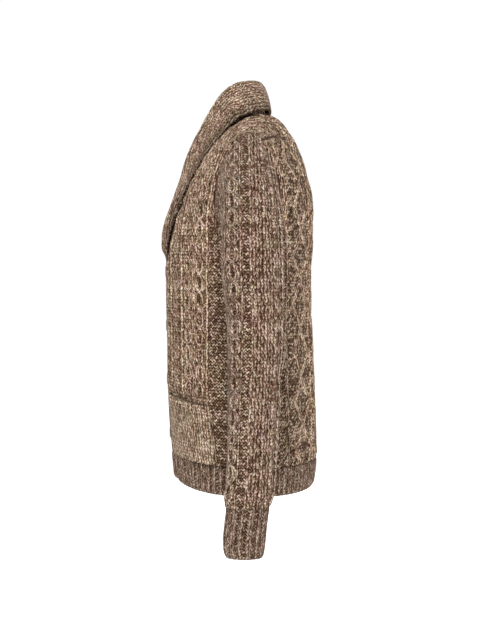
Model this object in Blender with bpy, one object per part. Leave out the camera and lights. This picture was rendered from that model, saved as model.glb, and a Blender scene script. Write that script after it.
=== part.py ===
"""Shawl collar cardigan in a chunky marled cable knit, filled out as if worn on a general figure.

Metres, +Z up. The front faces -Y and the wearer's left is +X. The origin is the centre of the neck at the
level of the high shoulder points, where the wearer carries the garment. Every knitted piece is a thin closed
wall of its own: a grid of points on the garment's form, cables and ribs raised in the outer points, a plain
coarser inside. The pieces stand a hairline apart at their seams.
"""

import math

import bmesh
import bpy
import numpy as np

# --- driving sizes -----------------------------------------------------------------------------
HEM_Z = -0.620  # bottom edge of the body
HEM_RIB = 0.046  # height of the ribbed hem
ARM_Z = -0.225  # level of the underarm, where the armholes start
WALL = 0.0036  # thickness of the knit under its raised stitches
SIDE_DROP = 0.007  # how much lower the hem hangs at the sides than at the front and back
HEM_TILT = 0.0055  # how much higher the hem lies in front, and how much lower behind, than halfway
SEAM_GAP = 0.0004  # clear space between two pieces at a seam
SEAM_BEVEL = 0.12  # how far the inner edge draws back at the seam behind the shoulder, as a share of a row
CABLE_HEIGHT = 0.0030
RIDGE_HEIGHT = 0.0022
RIB_HEIGHT = 0.0016
HEM_LEVELS = np.array([0.0, 0.006, HEM_RIB - 0.006, HEM_RIB])
HEM_PULL = np.array([-0.012, 0.0, 0.0, -0.008])  # how far the rib draws in at these levels, as a share
RIB_PITCH = 0.0120  # one rib and one furrow of the hem, cuffs and trims
ROUNDNESS = 2.2  # exponent of the body's rounded cross-section
BAND_HALF = 0.0225  # half the width of a front band, which lies centred on the front
BAND_LAP = 0.0043  # how much deeper the under band lies than the over band
LAP_START, LAP_SPAN = 0.002, 0.028  # the front beside the under band rises back to its form over this width
BAND_RIB = 0.6  # ribs of a band are this share of the usual height
BAND_WALL = 0.0030
BAND_COLUMNS, BAND_ROWS = 9, 8
BAND_TOP_GAP = 0.0034  # how far a band ends below the end of the collar
EDGE_RIB = 0.4  # share of its height that a rib keeps at the edge of a piece
INNER_SPACING = 0.034  # how far apart the points of a plain inside are
ARCH_ROWS, BACK_ARCH_ROWS = 15, 14  # rows of points above the underarm
PANEL_STEP = 0.0190  # height of one row of panel and sleeve points
LATTICE_STEP = 0.015  # height of one row of back panel points
SQUEEZE = 0.0008  # spacing of columns gathered against a cut edge

# Torso sections: depth to the front and to the back of the origin, and half the width
TORSO_COLUMNS = ("z", "front", "back", "half_width")
TORSO = (
    (-0.640, 0.1060, 0.1230, 0.196),
    (-0.620, 0.1080, 0.1255, 0.197),
    (-0.589, 0.1110, 0.1300, 0.199),
    (-0.537, 0.1165, 0.1285, 0.199),
    (-0.485, 0.1195, 0.1270, 0.196),
    (-0.433, 0.1210, 0.1250, 0.192),
    (-0.381, 0.1215, 0.1230, 0.189),
    (-0.329, 0.1230, 0.1205, 0.188),
    (-0.287, 0.1235, 0.1200, 0.190),
    (-0.256, 0.1235, 0.1205, 0.193),
    (-0.225, 0.1225, 0.1225, 0.196),
    (-0.190, 0.1215, 0.1250, 0.197),
)

# The shoulder: height of its ridge, height of the seam behind it, and how full the arch over it is
SHOULDER_COLUMNS = ("x", "ridge_z", "seam_z", "front_fullness", "back_fullness")
SHOULDER = (
    (0.000, 0.0100, 0.0075, 1.50, 2.40),
    (0.050, 0.0060, 0.0039, 1.50, 2.35),
    (0.070, 0.0020, 0.0010, 1.50, 2.30),
    (0.085, -0.0030, -0.0085, 1.52, 2.28),
    (0.100, -0.0090, -0.0245, 1.56, 2.25),
    (0.120, -0.0170, -0.0415, 1.68, 2.20),
    (0.150, -0.0300, -0.0490, 1.90, 2.20),
    (0.186, -0.0456, -0.0600, 2.20, 2.20),
    (0.200, -0.0520, -0.0660, 2.20, 2.20),
)
RIDGE_Y = 0.020
BLADE_BULGE, BLADE_Z, BLADE_SPAN = 0.004, -0.140, 0.050  # the back stands out over the shoulder blades

# Cut edges over the arch of the shoulder, 0 at the front underarm level, 90 on the ridge, 180 at the back
NECK_COLUMNS = ("angle", "x")
NECK = ((-9.0, 0.0230), (0.0, 0.0270), (20.0, 0.0370), (45.0, 0.0540), (70.0, 0.0700), (90.0, 0.0800),
        (130.0, 0.0800))
ARMHOLE_COLUMNS = ("angle", "x")
ARMHOLE = ((0.0, 0.1960), (6.0, 0.1925), (14.0, 0.1880), (25.0, 0.1860), (90.0, 0.1865), (125.0, 0.1800),
           (150.0, 0.1720), (166.0, 0.1740), (174.0, 0.1850), (180.0, 0.1960))
SHOULDER_GAP = 0.85  # degrees of the arch kept clear on each side of the seam behind the shoulder
DEGREE_DROP = 0.0025  # below the underarm level one degree stands for this much height
FRONT_SWEEP, BACK_SWEEP = 112.0, 62.0  # degrees of the arch that the edges of the front and the back run over

# Knit strips across each piece as (width in millimetres, knit), from the front band round to the side
FRONT_STRIPS = (
    (12, "purl"), (36, "cable"), (10, "purl"), (9, "ridge"), (10, "purl"), (36, "cable"), (10, "purl"),
    (10, "ridge"), (38, "cable"), (10, "ridge"), (30, "purl"), (10, "ridge"), (14, "purl"),
)
# Half of the back, from the centre to the side
BACK_STRIPS = ((90, "lattice"), (12, "purl"), (10, "ridge"), (10, "purl"), (36, "cable"), (10, "purl"),
               (10, "ridge"), (24, "purl"), (10, "ridge"), (38, "purl"))
# Round the sleeve, in degrees, from the underarm seam by the front
SLEEVE_STRIPS = ((76, "purl"), (46, "cable"), (8, "purl"), (40, "cable"), (8, "purl"), (12, "ridge"),
                 (16, "purl"), (12, "ridge"), (18, "purl"), (14, "ridge"), (28, "purl"), (14, "ridge"),
                 (68, "purl"))
WIDE_PURL = 27  # a plain strip this wide gets one more column of points
LATTICE_HALF = 3  # rows and columns from one crossing of the lattice to the next
CABLE_ROWS = 4  # rows of points in one turn of a cable

# Sleeve sections: front and back edges, inner side and width from inner to outer side
SLEEVE_COLUMNS = ("z", "front", "back", "inner", "across")
SLEEVE = (
    (-0.716, -0.0205, 0.0340, 0.2140, 0.056),
    (-0.707, -0.0235, 0.0360, 0.2135, 0.059),
    (-0.660, -0.0230, 0.0415, 0.2120, 0.064),
    (-0.642, -0.0210, 0.0440, 0.2115, 0.065),
    (-0.630, -0.0230, 0.0478, 0.2105, 0.070),
    (-0.608, -0.0220, 0.0520, 0.2100, 0.072),
    (-0.546, -0.0190, 0.0560, 0.2095, 0.077),
    (-0.469, -0.0175, 0.0610, 0.2085, 0.082),
    (-0.392, -0.0180, 0.0670, 0.2070, 0.087),
    (-0.315, -0.0215, 0.0710, 0.2065, 0.092),
    (-0.262, -0.0300, 0.0745, 0.2065, 0.095),
)
CUFF_BOTTOM, CUFF_TOP = -0.714, -0.637
CUFF_TURN = 0.006  # height of the soft turn at each edge of a cuff
CUFF_ACROSS = 0.060  # width of the cuff that its ribs are counted on
SLEEVE_TOP_Z = -0.262  # the last level ring, from which the cap rises to the armhole
SLEEVE_ROUNDNESS = 2.1
CAP_RISE, CAP_REACH = 0.85, 0.85  # how far the cap keeps its direction at the ring and at the armhole
CAP_ROWS = 8
CAP_SLOPE = 0.60  # how steeply the cap meets the shoulder

# Collar: share of the neck seam from the centre back, the roll it is folded along, the outer edge of its fall
COLLAR_COLUMNS = ("along", "roll_x", "roll_y", "roll_z", "edge_x", "edge_y", "edge_z")
COLLAR = (
    (0.00, 0.0000, 0.0355, 0.0590, 0.0000, 0.0515, 0.0105),
    (0.08, 0.0290, 0.0310, 0.0588, 0.0395, 0.0505, 0.0100),
    (0.16, 0.0530, 0.0200, 0.0565, 0.0785, 0.0455, 0.0060),
    (0.22, 0.0660, 0.0070, 0.0535, 0.0940, 0.0290, 0.0015),
    (0.29, 0.0715, -0.0070, 0.0490, 0.0980, 0.0100, -0.0045),
    (0.36, 0.0700, -0.0215, 0.0405, 0.1000, -0.0055, -0.0125),
    (0.43, 0.0655, -0.0380, 0.0225, 0.1030, -0.0140, -0.0200),
    (0.48, 0.0600, -0.0530, -0.0010, 0.1060, -0.0240, -0.0320),
    (0.53, 0.0550, -0.0640, -0.0210, 0.1070, -0.0370, -0.0500),
    (0.58, 0.0500, -0.0770, -0.0440, 0.1070, -0.0500, -0.0700),
    (0.63, 0.0440, -0.0900, -0.0740, 0.1050, -0.0630, -0.0950),
    (0.69, 0.0370, -0.0990, -0.1035, 0.1000, -0.0790, -0.1200),
    (0.75, 0.0290, -0.1095, -0.1335, 0.0920, -0.0940, -0.1450),
    (0.81, 0.0220, -0.1195, -0.1637, 0.0800, -0.1070, -0.1720),
    (0.87, 0.0145, -0.1290, -0.1942, 0.0620, -0.1150, -0.1990),
    (0.94, 0.0090, -0.1285, -0.2220, 0.0500, -0.1190, -0.2240),
    (1.00, 0.0050, -0.1265, -0.2450, 0.0400, -0.1200, -0.2450),
)
NECK_CORNER = 0.17  # share of the neck seam where it turns from the back to the front
BACK_STATIONS, FRONT_STATIONS = 5, 15  # of the collar, from the centre back to the corner and on to one end
COLLAR_WALL = 0.0040
COLLAR_RIB = 0.0012
ROLL_RADIUS = 0.0050
FALL_POINTS = 11
STAND_POINTS = 5
FALL_BULGE = 0.006
BACK_BULGE, BULGE_FROM, BULGE_OVER = 0.3, 0.10, 0.20  # share of the bulge behind the neck, and where it grows
ROOT_LIFT_BACK, ROOT_LIFT_FRONT = 0.0042, 0.0014  # how far the foot of the stand is off the panels' edges
ROOT_IN = 0.0010  # how far the foot of the stand lies inside the neck seam
LIFT_FROM, LIFT_OVER = 0.20, 0.15  # share of the neck seam where the fronts' cables start to lift the collar
BACK_LIFT_FROM, BACK_LIFT_OVER = 0.15, 0.08  # and where those of the back end
FALL_GAP = 0.0012  # clear space between the fall and the panels under it

BUTTON_RADIUS = 0.0110
BUTTON_THICK = 0.0036
BUTTON_TOP_Z, BUTTON_STEP = -0.262, 0.0925
BUTTON_COUNT = 4
BUTTON_GAP = 0.0009  # clear space between a button and the ribs of the band
BUTTON_SEGMENTS = 16
# Half section of a button from its back to the middle of its face: shares of its radius and of its thickness
BUTTON_PROFILE = ((0.0, 0.0), (0.86, 0.0), (1.0, 0.35), (0.94, 0.85), (0.80, 1.0), (0.62, 0.72), (0.0, 0.66))

# Patch pocket: places round the front of its two sides from the centre, and the heights of its edges
POCKET_COLUMNS = ("front_place", "rear_place", "bottom_z", "top_front_z", "top_rear_z", "height", "trim")
POCKET = dict(zip(POCKET_COLUMNS, (0.0550, 0.2100, -0.5730, -0.4720, -0.4820, 0.1000, 0.0150)))
POCKET_MARGIN = 0.012  # the cables under the pocket are pressed flat this far beyond its edges
POCKET_BLEND = 0.010
POCKET_PRESS = 0.85  # how much of the cables' height is pressed away under the pocket
POCKET_CLEAR, POCKET_LIFT = 0.0014, 0.0016  # gap under the pocket at its edges, how much more at its middle
TRIM_RAISE = 0.0006

CLOTH = {  # colour, roughness
    "knit_body": ((0.235, 0.165, 0.120), 0.95),
    "knit_rib": ((0.215, 0.150, 0.110), 0.95),
    "button": ((0.150, 0.115, 0.090), 0.45),
}


# --- small helpers -----------------------------------------------------------------------------
def column(table, names, name):
    return np.array([row[names.index(name)] for row in table], float)


def curve(at, places, values):
    """A smooth curve through the values at their places."""
    slopes = np.gradient(values, places)
    at = np.clip(np.asarray(at, float), places[0], places[-1])
    cell = np.clip(np.searchsorted(places, at, side="right") - 1, 0, len(places) - 2)
    span = places[cell + 1] - places[cell]
    t = (at - places[cell]) / span
    rise = slopes[cell] * span
    fall = slopes[cell + 1] * span
    return ((2 * t**3 - 3 * t**2 + 1) * values[cell] + (t**3 - 2 * t**2 + t) * rise
            + (3 * t**2 - 2 * t**3) * values[cell + 1] + (t**3 - t**2) * fall)


def table_curve(table, names, at, name):
    return curve(at, column(table, names, names[0]), column(table, names, name))


def smooth(t):
    t = np.clip(t, 0.0, 1.0)
    return t * t * (3 - 2 * t)


# --- the form of the body ----------------------------------------------------------------------
def torso(z, name):
    return table_curve(TORSO, TORSO_COLUMNS, z, name)


def shoulder(x, name):
    return table_curve(SHOULDER, SHOULDER_COLUMNS, np.abs(x), name)


def depth_share(x, z):
    """How much of the depth is left this far from the middle of the section."""
    ratio = np.clip(np.abs(x) / torso(z, "half_width"), 0.0, 1.0)
    return (1 - ratio**ROUNDNESS) ** (1 / ROUNDNESS)


def section(z, share):
    """x and y of points on the section at height z: 0 at centre front, 0.5 at the side, 1 at centre back."""
    turn = np.linspace(0.0, math.pi / 2, 241)
    half_width = float(torso(z, "half_width"))
    across = half_width * np.sin(turn) ** (2 / ROUNDNESS)
    share = np.asarray(share, float)
    x = np.empty_like(share)
    y = np.empty_like(share)
    for back, name in ((False, "front"), (True, "back")):
        deep = float(torso(z, name)) * np.cos(turn) ** (2 / ROUNDNESS)
        length = np.concatenate([[0.0], np.cumsum(np.hypot(np.diff(across), np.diff(deep)))])
        part = share > 0.5 if back else share <= 0.5
        place = (1 - share[part] if back else share[part]) * 2 * length[-1]
        x[part] = np.interp(place, length, across)
        y[part] = np.interp(place, length, deep) * (1 if back else -1)
    return x, y


def level(x, y, z):
    """Points of a section, which hangs a little lower towards the sides and the back near the hem."""
    drop = SIDE_DROP * (np.abs(x) / float(torso(z, "half_width"))) ** 2
    drop = drop + HEM_TILT * y / float(torso(z, "back"))
    return np.stack([x, y, z - drop * smooth((ARM_Z - z) / 0.35)], axis=-1)


def arch(x, angle):
    """Points over the shoulder: 0 degrees at the front underarm level, 90 on the ridge, 180 at the back."""
    x, angle = np.broadcast_arrays(np.asarray(x, float), np.asarray(angle, float))
    turn = np.radians(np.clip(angle, 0.0, 180.0))
    back = angle > 90
    depth = np.where(back, torso(ARM_Z, "back"), -torso(ARM_Z, "front")) * depth_share(x, ARM_Z)
    fullness = np.where(back, shoulder(x, "back_fullness"), shoulder(x, "front_fullness"))
    ridge = shoulder(x, "ridge_z")
    y = RIDGE_Y + (depth - RIDGE_Y) * np.abs(np.cos(turn)) ** (2 / fullness)
    z = ARM_Z + (ridge - ARM_Z) * np.sin(turn) ** (2 / fullness)
    bulge = BLADE_BULGE * np.exp(-(((z - BLADE_Z) / BLADE_SPAN) ** 2)) * depth_share(x, ARM_Z)
    y = y + np.where(back, bulge, 0.0)
    return np.stack([x, y, z], axis=-1)


def seam_angle(x):
    """Where the seam behind the shoulder crosses the arch."""
    fullness = shoulder(x, "back_fullness")
    rise = (shoulder(x, "seam_z") - ARM_Z) / (shoulder(x, "ridge_z") - ARM_Z)
    return 180 - np.degrees(np.arcsin(np.clip(rise, 0, 1) ** (fullness / 2)))


def share_of_x(x):
    """The share round the front of the underarm section at which it is this far from the middle."""
    shares = np.linspace(0.0, 0.5, 401)
    return np.interp(x, section(ARM_Z, shares)[0], shares)


def neck_x(angle):
    return table_curve(NECK, NECK_COLUMNS, angle, "x")


def armhole_x(angle):
    return table_curve(ARMHOLE, ARMHOLE_COLUMNS, angle, "x")


def neck_edge(angle):
    """A point of the neckline of the left front."""
    x = float(neck_x(angle))
    if angle >= 0:
        return arch(x, angle)
    z = ARM_Z + angle * DEGREE_DROP
    return np.array([x, -float(torso(z, "front")) * float(depth_share(x, z)), z])


# --- walls -------------------------------------------------------------------------------------
def normals(points, closed=False):
    """Unit normals of a grid of points, turned out by the grid's own order: rows go up, columns go round."""
    if closed:
        round_ = np.roll(points, -1, axis=1) - np.roll(points, 1, axis=1)
    else:
        round_ = np.gradient(points, axis=1)
    along = np.gradient(points, axis=0)
    normal = np.cross(round_, along)
    return normal / np.maximum(np.linalg.norm(normal, axis=-1, keepdims=True), 1e-12)


def without_last_row(base, relief):
    """The grid, its normals and its relief, less a last row that only serves to turn the edge's normals."""
    base, relief = np.array(base), np.array(relief)[:-1]
    relief[0] = relief[-1] = 0
    return base[:-1], normals(base)[:-1], relief


def square(normal, axis):
    """Normals turned square to an axis, in place, so that two pieces meet face to face at a seam."""
    normal[..., axis] = 0.0
    normal /= np.linalg.norm(normal, axis=-1, keepdims=True)


def coarse(count, step):
    """Every step-th index, with the last one."""
    return sorted(set(range(0, count, step)) | {count - 1})


def coarse_columns(points, spacing, closed):
    """The columns that the plain inside keeps, about this far apart along the first row of points."""
    step = np.linalg.norm(np.diff(points[0], axis=0), axis=1)
    place = np.concatenate([[0.0], np.cumsum(step)])
    kept = [0]
    for n in range(1, len(place)):
        if place[n] - place[kept[-1]] >= spacing * 0.8:
            kept.append(n)
    if closed:
        return kept
    if kept[-1] != len(place) - 1:
        if len(kept) > 1 and place[-1] - place[kept[-1]] < spacing * 0.4:
            kept.pop()
        kept.append(len(place) - 1)
    return kept


def strip_faces(first, second, first_at, second_at):
    """Triangles between two rows of points that start and end together."""
    faces = []
    i = j = 0
    while i < len(first) - 1 or j < len(second) - 1:
        step_first = j == len(second) - 1 or (i < len(first) - 1 and first_at[i + 1] <= second_at[j + 1])
        if step_first:
            faces.append((first[i], first[i + 1], second[j]))
            i += 1
        else:
            faces.append((first[i], second[j + 1], second[j]))
            j += 1
    return faces


def wall(name, cloth, outer, inner, relief, closed=False, inner_rows=4, spacing=INNER_SPACING):
    """A closed wall between two grids of points. The inner grid keeps only some of its rows and columns."""
    rows, columns = outer.shape[:2]
    kept_rows = coarse(rows, inner_rows)
    kept_columns = coarse_columns(outer, spacing, closed)
    outer_id = np.arange(rows * columns).reshape(rows, columns)
    inner_id = rows * columns + np.arange(len(kept_rows) * len(kept_columns))
    inner_id = inner_id.reshape(len(kept_rows), len(kept_columns))
    points = np.concatenate([outer.reshape(-1, 3), inner[np.ix_(kept_rows, kept_columns)].reshape(-1, 3)])
    column_at = list(range(columns))
    kept_at = list(kept_columns)
    if closed:
        outer_id = np.concatenate([outer_id, outer_id[:, :1]], axis=1)
        inner_id = np.concatenate([inner_id, inner_id[:, :1]], axis=1)
        relief = np.concatenate([relief, relief[:, :1]], axis=1)
        column_at.append(columns)
        kept_at.append(columns)
    faces = []
    for r in range(rows - 1):
        for c in range(outer_id.shape[1] - 1):
            a, b, d, e = outer_id[r, c], outer_id[r, c + 1], outer_id[r + 1, c + 1], outer_id[r + 1, c]
            rising = relief[r, c] + relief[r + 1, c + 1] >= relief[r, c + 1] + relief[r + 1, c]
            faces += [(a, b, d), (a, d, e)] if rising else [(a, b, e), (b, d, e)]
    for r in range(len(kept_rows) - 1):
        for c in range(inner_id.shape[1] - 1):
            a, b, d, e = inner_id[r, c], inner_id[r, c + 1], inner_id[r + 1, c + 1], inner_id[r + 1, c]
            faces += [(a, d, b), (a, e, d)]
    for edge in (0, -1):
        faces += strip_faces(outer_id[edge], inner_id[edge], column_at, kept_at)
        if not closed:
            faces += strip_faces(outer_id[:, edge], inner_id[:, edge], list(range(rows)), kept_rows)
    return solid(name, cloth, points, faces)


def solid(name, cloth, points, faces):
    mesh = bpy.data.meshes.new(name)
    mesh.from_pydata([tuple(map(float, p)) for p in points], [], [tuple(map(int, f)) for f in faces])
    shape = bmesh.new()
    shape.from_mesh(mesh)
    bmesh.ops.recalc_face_normals(shape, faces=shape.faces)
    shape.to_mesh(mesh)
    shape.free()
    mesh.shade_smooth()
    mesh.materials.append(material(cloth))
    piece = bpy.data.objects.new(name, mesh)
    bpy.context.scene.collection.objects.link(piece)
    return piece


def material(name):
    found = bpy.data.materials.get(name)
    if found:
        return found
    colour, roughness = CLOTH[name]
    made = bpy.data.materials.new(name)
    made.use_nodes = True
    shader = made.node_tree.nodes["Principled BSDF"]
    shader.inputs["Base Color"].default_value = (*colour, 1.0)
    shader.inputs["Roughness"].default_value = roughness
    shader.inputs["Metallic"].default_value = 0.0
    return made


def mirrored(points):
    """The same piece for the other side, its columns in the opposite order so that it still faces out."""
    return points[:, ::-1] * np.array([-1.0, 1.0, 1.0])


# --- knit patterns -----------------------------------------------------------------------------
def strip_columns(strips):
    """Places of the columns of points across a row of strips, and the (knit, part) of each column."""
    places, kinds = [0.0], [("edge", 0)]
    start = 0.0
    for width, knit in strips:
        columns = {"purl": int(width // WIDE_PURL), "ridge": 1, "cable": 3, "lattice": round(width / 10) - 1}
        inner = columns[knit]
        for k in range(1, inner + 1):
            places.append(start + width * k / (inner + 1))
            kinds.append((knit, k))
        start += width
        places.append(start)
        kinds.append(("lattice", inner + 1) if knit == "lattice" else ("edge", 0))
    return np.array(places), kinds


def knit_height(knit, part, row):
    """How far a column of points is raised in this row."""
    if knit == "ridge":
        return RIDGE_HEIGHT
    if knit == "cable":
        crossing = (1.0, 0.55, 0.9, 0.55)[row % CABLE_ROWS]
        middle = (0.25, 1.0, 0.25, 1.0)[row % CABLE_ROWS]
        return CABLE_HEIGHT * (middle if part == 2 else crossing)
    return 0.0


def fit_columns(shares, low, high, squeeze):
    """Columns kept at their own places, and gathered closely against an edge that has passed them."""
    count = len(shares)
    order = np.arange(count)
    fitted = np.maximum(shares, low + order * squeeze)
    fitted = np.minimum(fitted, high - (count - 1 - order) * squeeze)
    return fitted


def open_share(fitted, shares):
    """1 where a column stands free of its neighbours, 0 where it is gathered against an edge."""
    gap = np.minimum(np.diff(fitted, prepend=fitted[0] - 1), np.diff(fitted, append=fitted[-1] + 1))
    nominal = np.minimum(np.diff(shares, prepend=shares[0] - 1), np.diff(shares, append=shares[-1] + 1))
    return np.clip((gap / nominal - 0.3) / 0.5, 0.0, 1.0)


def ribbed(columns, rows):
    """Rib heights over a strip: furrow, rib, furrow, rib along a row, fainter on the first and last row."""
    relief = np.tile(np.arange(columns) % 2 * RIB_HEIGHT, (rows, 1))
    relief[[0, -1]] *= EDGE_RIB
    return relief


# --- front panels ------------------------------------------------------------------------------
def front_length():
    """Half the front's width round the section at the waist."""
    x, y = section(-0.35, np.linspace(0.0, 0.5, 101))
    return float(np.hypot(np.diff(x), np.diff(y)).sum())


def lap_dip(x, left):
    """The left front dips beside its band, which lies under the right one."""
    if not left:
        return 0.0 * x
    return -BAND_LAP * (1 - smooth((x - BAND_HALF - LAP_START) / LAP_SPAN))


def under_pocket(shares, z):
    """1 under the patch pocket, 0 clear of it."""
    place = shares * 2 * front_length()
    from_front = smooth((place - POCKET["front_place"] + POCKET_MARGIN) / POCKET_BLEND)
    from_rear = smooth((POCKET["rear_place"] + POCKET_MARGIN - place) / POCKET_BLEND)
    from_top = smooth((POCKET["top_front_z"] + POCKET_MARGIN - z) / POCKET_BLEND)
    return from_front * from_rear * from_top


def front_panel(left):
    places, kinds = strip_columns(FRONT_STRIPS)
    start = BAND_HALF / front_length() / 2
    shares = start + places / places[-1] * (0.5 - SEAM_GAP - start)
    levels = np.linspace(HEM_Z + HEM_RIB + SEAM_GAP, ARM_Z, round((ARM_Z - HEM_Z - HEM_RIB) / PANEL_STEP) + 1)
    over = np.arange(1, ARCH_ROWS + 2) / ARCH_ROWS
    squeeze = SQUEEZE / front_length() / 2
    base, relief = [], []
    for row, z in enumerate(levels):
        angle = (z - ARM_Z) / DEGREE_DROP
        low = float(share_of_x(neck_x(angle) + SEAM_GAP)) if angle > NECK[0][0] else start
        fitted = fit_columns(shares, max(low, start), 0.5 - SEAM_GAP, squeeze)
        x, y = section(z, fitted)
        base.append(level(x, y + lap_dip(x, left), z))
        kept = open_share(fitted, shares) * (1 - POCKET_PRESS * under_pocket(fitted, z))
        relief.append([knit_height(*kind, row) for kind in kinds] * kept)
    for k, t in enumerate(over):
        reference = t * FRONT_SWEEP
        low = float(share_of_x(neck_x(reference) + SEAM_GAP))
        high = float(share_of_x(armhole_x(reference) - SEAM_GAP))
        fitted = fit_columns(shares, low, high, squeeze)
        x, _ = section(ARM_Z, fitted)
        angle = t * (seam_angle(x) - SHOULDER_GAP)
        points = arch(x, angle)
        points[:, 1] += lap_dip(x, left) * (1 - smooth(t * 3))
        base.append(points)
        row = len(levels) + k
        relief.append([knit_height(*kind, row) for kind in kinds] * open_share(fitted, shares))
    base, out, relief = without_last_row(base, relief)
    square(out[: len(levels), -1], 1)
    square(out[: len(levels), 0], 0)
    outer = base + out * relief[..., None]
    inner = base - out * WALL
    inner[-1] += (inner[-2] - inner[-1]) * SEAM_BEVEL
    if not left:
        outer, inner, relief = mirrored(outer), mirrored(inner), relief[:, ::-1]
    return wall(f"front_panel_{'L' if left else 'R'}", "knit_body", outer, inner, relief)


# --- back panel --------------------------------------------------------------------------------
def lattice_height(part, row):
    """Cords of the lattice run one column sideways for each row and cross every few rows."""
    turn = 2 * LATTICE_HALF
    first = (part - row) % turn
    second = (part + row) % turn
    return CABLE_HEIGHT if 0 in (first, second) else 0.0


def back_panel():
    places, kinds = strip_columns(BACK_STRIPS)
    shares = places / places[-1] * (0.5 - SEAM_GAP)
    steps = round((ARM_Z - HEM_Z - HEM_RIB) / LATTICE_STEP)
    levels = np.linspace(HEM_Z + HEM_RIB + SEAM_GAP, ARM_Z, steps + 1)
    over = np.arange(1, BACK_ARCH_ROWS + 2) / BACK_ARCH_ROWS
    squeeze = SQUEEZE / front_length() / 2
    lattice_columns = [n for n, kind in enumerate(kinds) if kind[0] == "lattice"]
    half, relief = [], []

    def heights(row, fitted):
        raised = [knit_height(*kind, row) for kind in kinds]
        for n in lattice_columns:
            raised[n] = lattice_height(kinds[n][1], row)
        raised[0] = lattice_height(0, row)
        return raised * open_share(fitted, shares)

    for row, z in enumerate(levels):
        x, y = section(z, 1 - shares)
        half.append(level(x, y, z))
        relief.append(heights(row, shares))
    for k, t in enumerate(over):
        high = float(share_of_x(armhole_x(180 - t * BACK_SWEEP) - SEAM_GAP))
        fitted = fit_columns(shares, 0.0, high, squeeze)
        fitted[0] = 0.0
        x, _ = section(ARM_Z, 1 - fitted)
        angle = 180 - t * (180 - seam_angle(x) - SHOULDER_GAP)
        half.append(arch(x, angle))
        relief.append(heights(len(levels) + k, fitted))
    half, relief = np.array(half), np.array(relief)
    base = np.concatenate([half[:, ::-1], mirrored(half)[:, ::-1][:, 1:]], axis=1)
    relief = np.concatenate([relief[:, ::-1], relief[:, 1:]], axis=1)
    base, out, relief = without_last_row(base, relief)
    for side in (0, -1):
        square(out[: len(levels), side], 1)
    inner = base - out * WALL
    inner[-1] += (inner[-2] - inner[-1]) * SEAM_BEVEL
    return wall("back_panel", "knit_body", base + out * relief[..., None], inner, relief)


# --- hem ribs and bands ------------------------------------------------------------------------
def rib_shares(first, last):
    """Shares of the section from the first to the last, which give whole ribs along the hem."""
    x, y = section(HEM_Z, np.linspace(first, last, 60))
    length = float(np.hypot(np.diff(x), np.diff(y)).sum())
    return np.linspace(first, last, 2 * round(length / RIB_PITCH) + 1)


def hem_rows(shares, left=False):
    rows = []
    for z, pull in zip(HEM_Z + HEM_LEVELS, HEM_PULL):
        x, y = section(z, shares)
        rows.append(level(x, y + lap_dip(x, left), z) * np.array([1 + pull, 1 + pull, 1.0]))
    return np.array(rows)


def front_hem_rib(left):
    start = BAND_HALF / front_length() / 2
    base = hem_rows(rib_shares(start + 0.001, 0.5 - SEAM_GAP), left)
    relief = ribbed(base.shape[1], len(base))
    if not left:
        base, relief = mirrored(base), relief[:, ::-1]
    out = normals(base)
    square(out[:, -1 if left else 0], 1)
    square(out[:, 0 if left else -1], 0)
    outer, inner = base + out * relief[..., None], base - out * WALL
    return wall(f"hem_rib_front_{'L' if left else 'R'}", "knit_rib", outer, inner, relief)


def back_hem_rib():
    half = hem_rows(rib_shares(0.5 + SEAM_GAP, 1.0))
    base = np.concatenate([half, mirrored(half)[:, 1:]], axis=1)
    relief = ribbed(base.shape[1], len(base))
    out = normals(base)
    for side in (0, -1):
        square(out[:, side], 1)
    return wall("hem_rib_back", "knit_rib", base + out * relief[..., None], base - out * WALL, relief)


def front_band(left):
    """A ribbed strip from the end of the collar to the hem. The right one lies over the left one."""
    top = ARM_Z + NECK[0][0] * DEGREE_DROP - BAND_TOP_GAP
    levels = np.concatenate([HEM_Z + HEM_LEVELS[:2], np.linspace(HEM_Z + HEM_RIB, top, BAND_ROWS)])
    across = np.linspace(-BAND_HALF + SEAM_GAP, BAND_HALF - SEAM_GAP, BAND_COLUMNS)
    base = []
    for z in levels:
        y = -torso(z, "front") * depth_share(across, z) + (BAND_LAP if left else 0.0)
        base.append(level(across, y, z))
    base = np.array(base)
    relief = ribbed(len(across), len(levels)) * BAND_RIB
    out = normals(base)
    for side in (0, -1):
        square(out[:, side], 0)
    outer, inner = base + out * relief[..., None], base - out * BAND_WALL
    return wall(f"front_band_{'L' if left else 'R'}", "knit_rib", outer, inner, relief, inner_rows=1)


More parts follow.
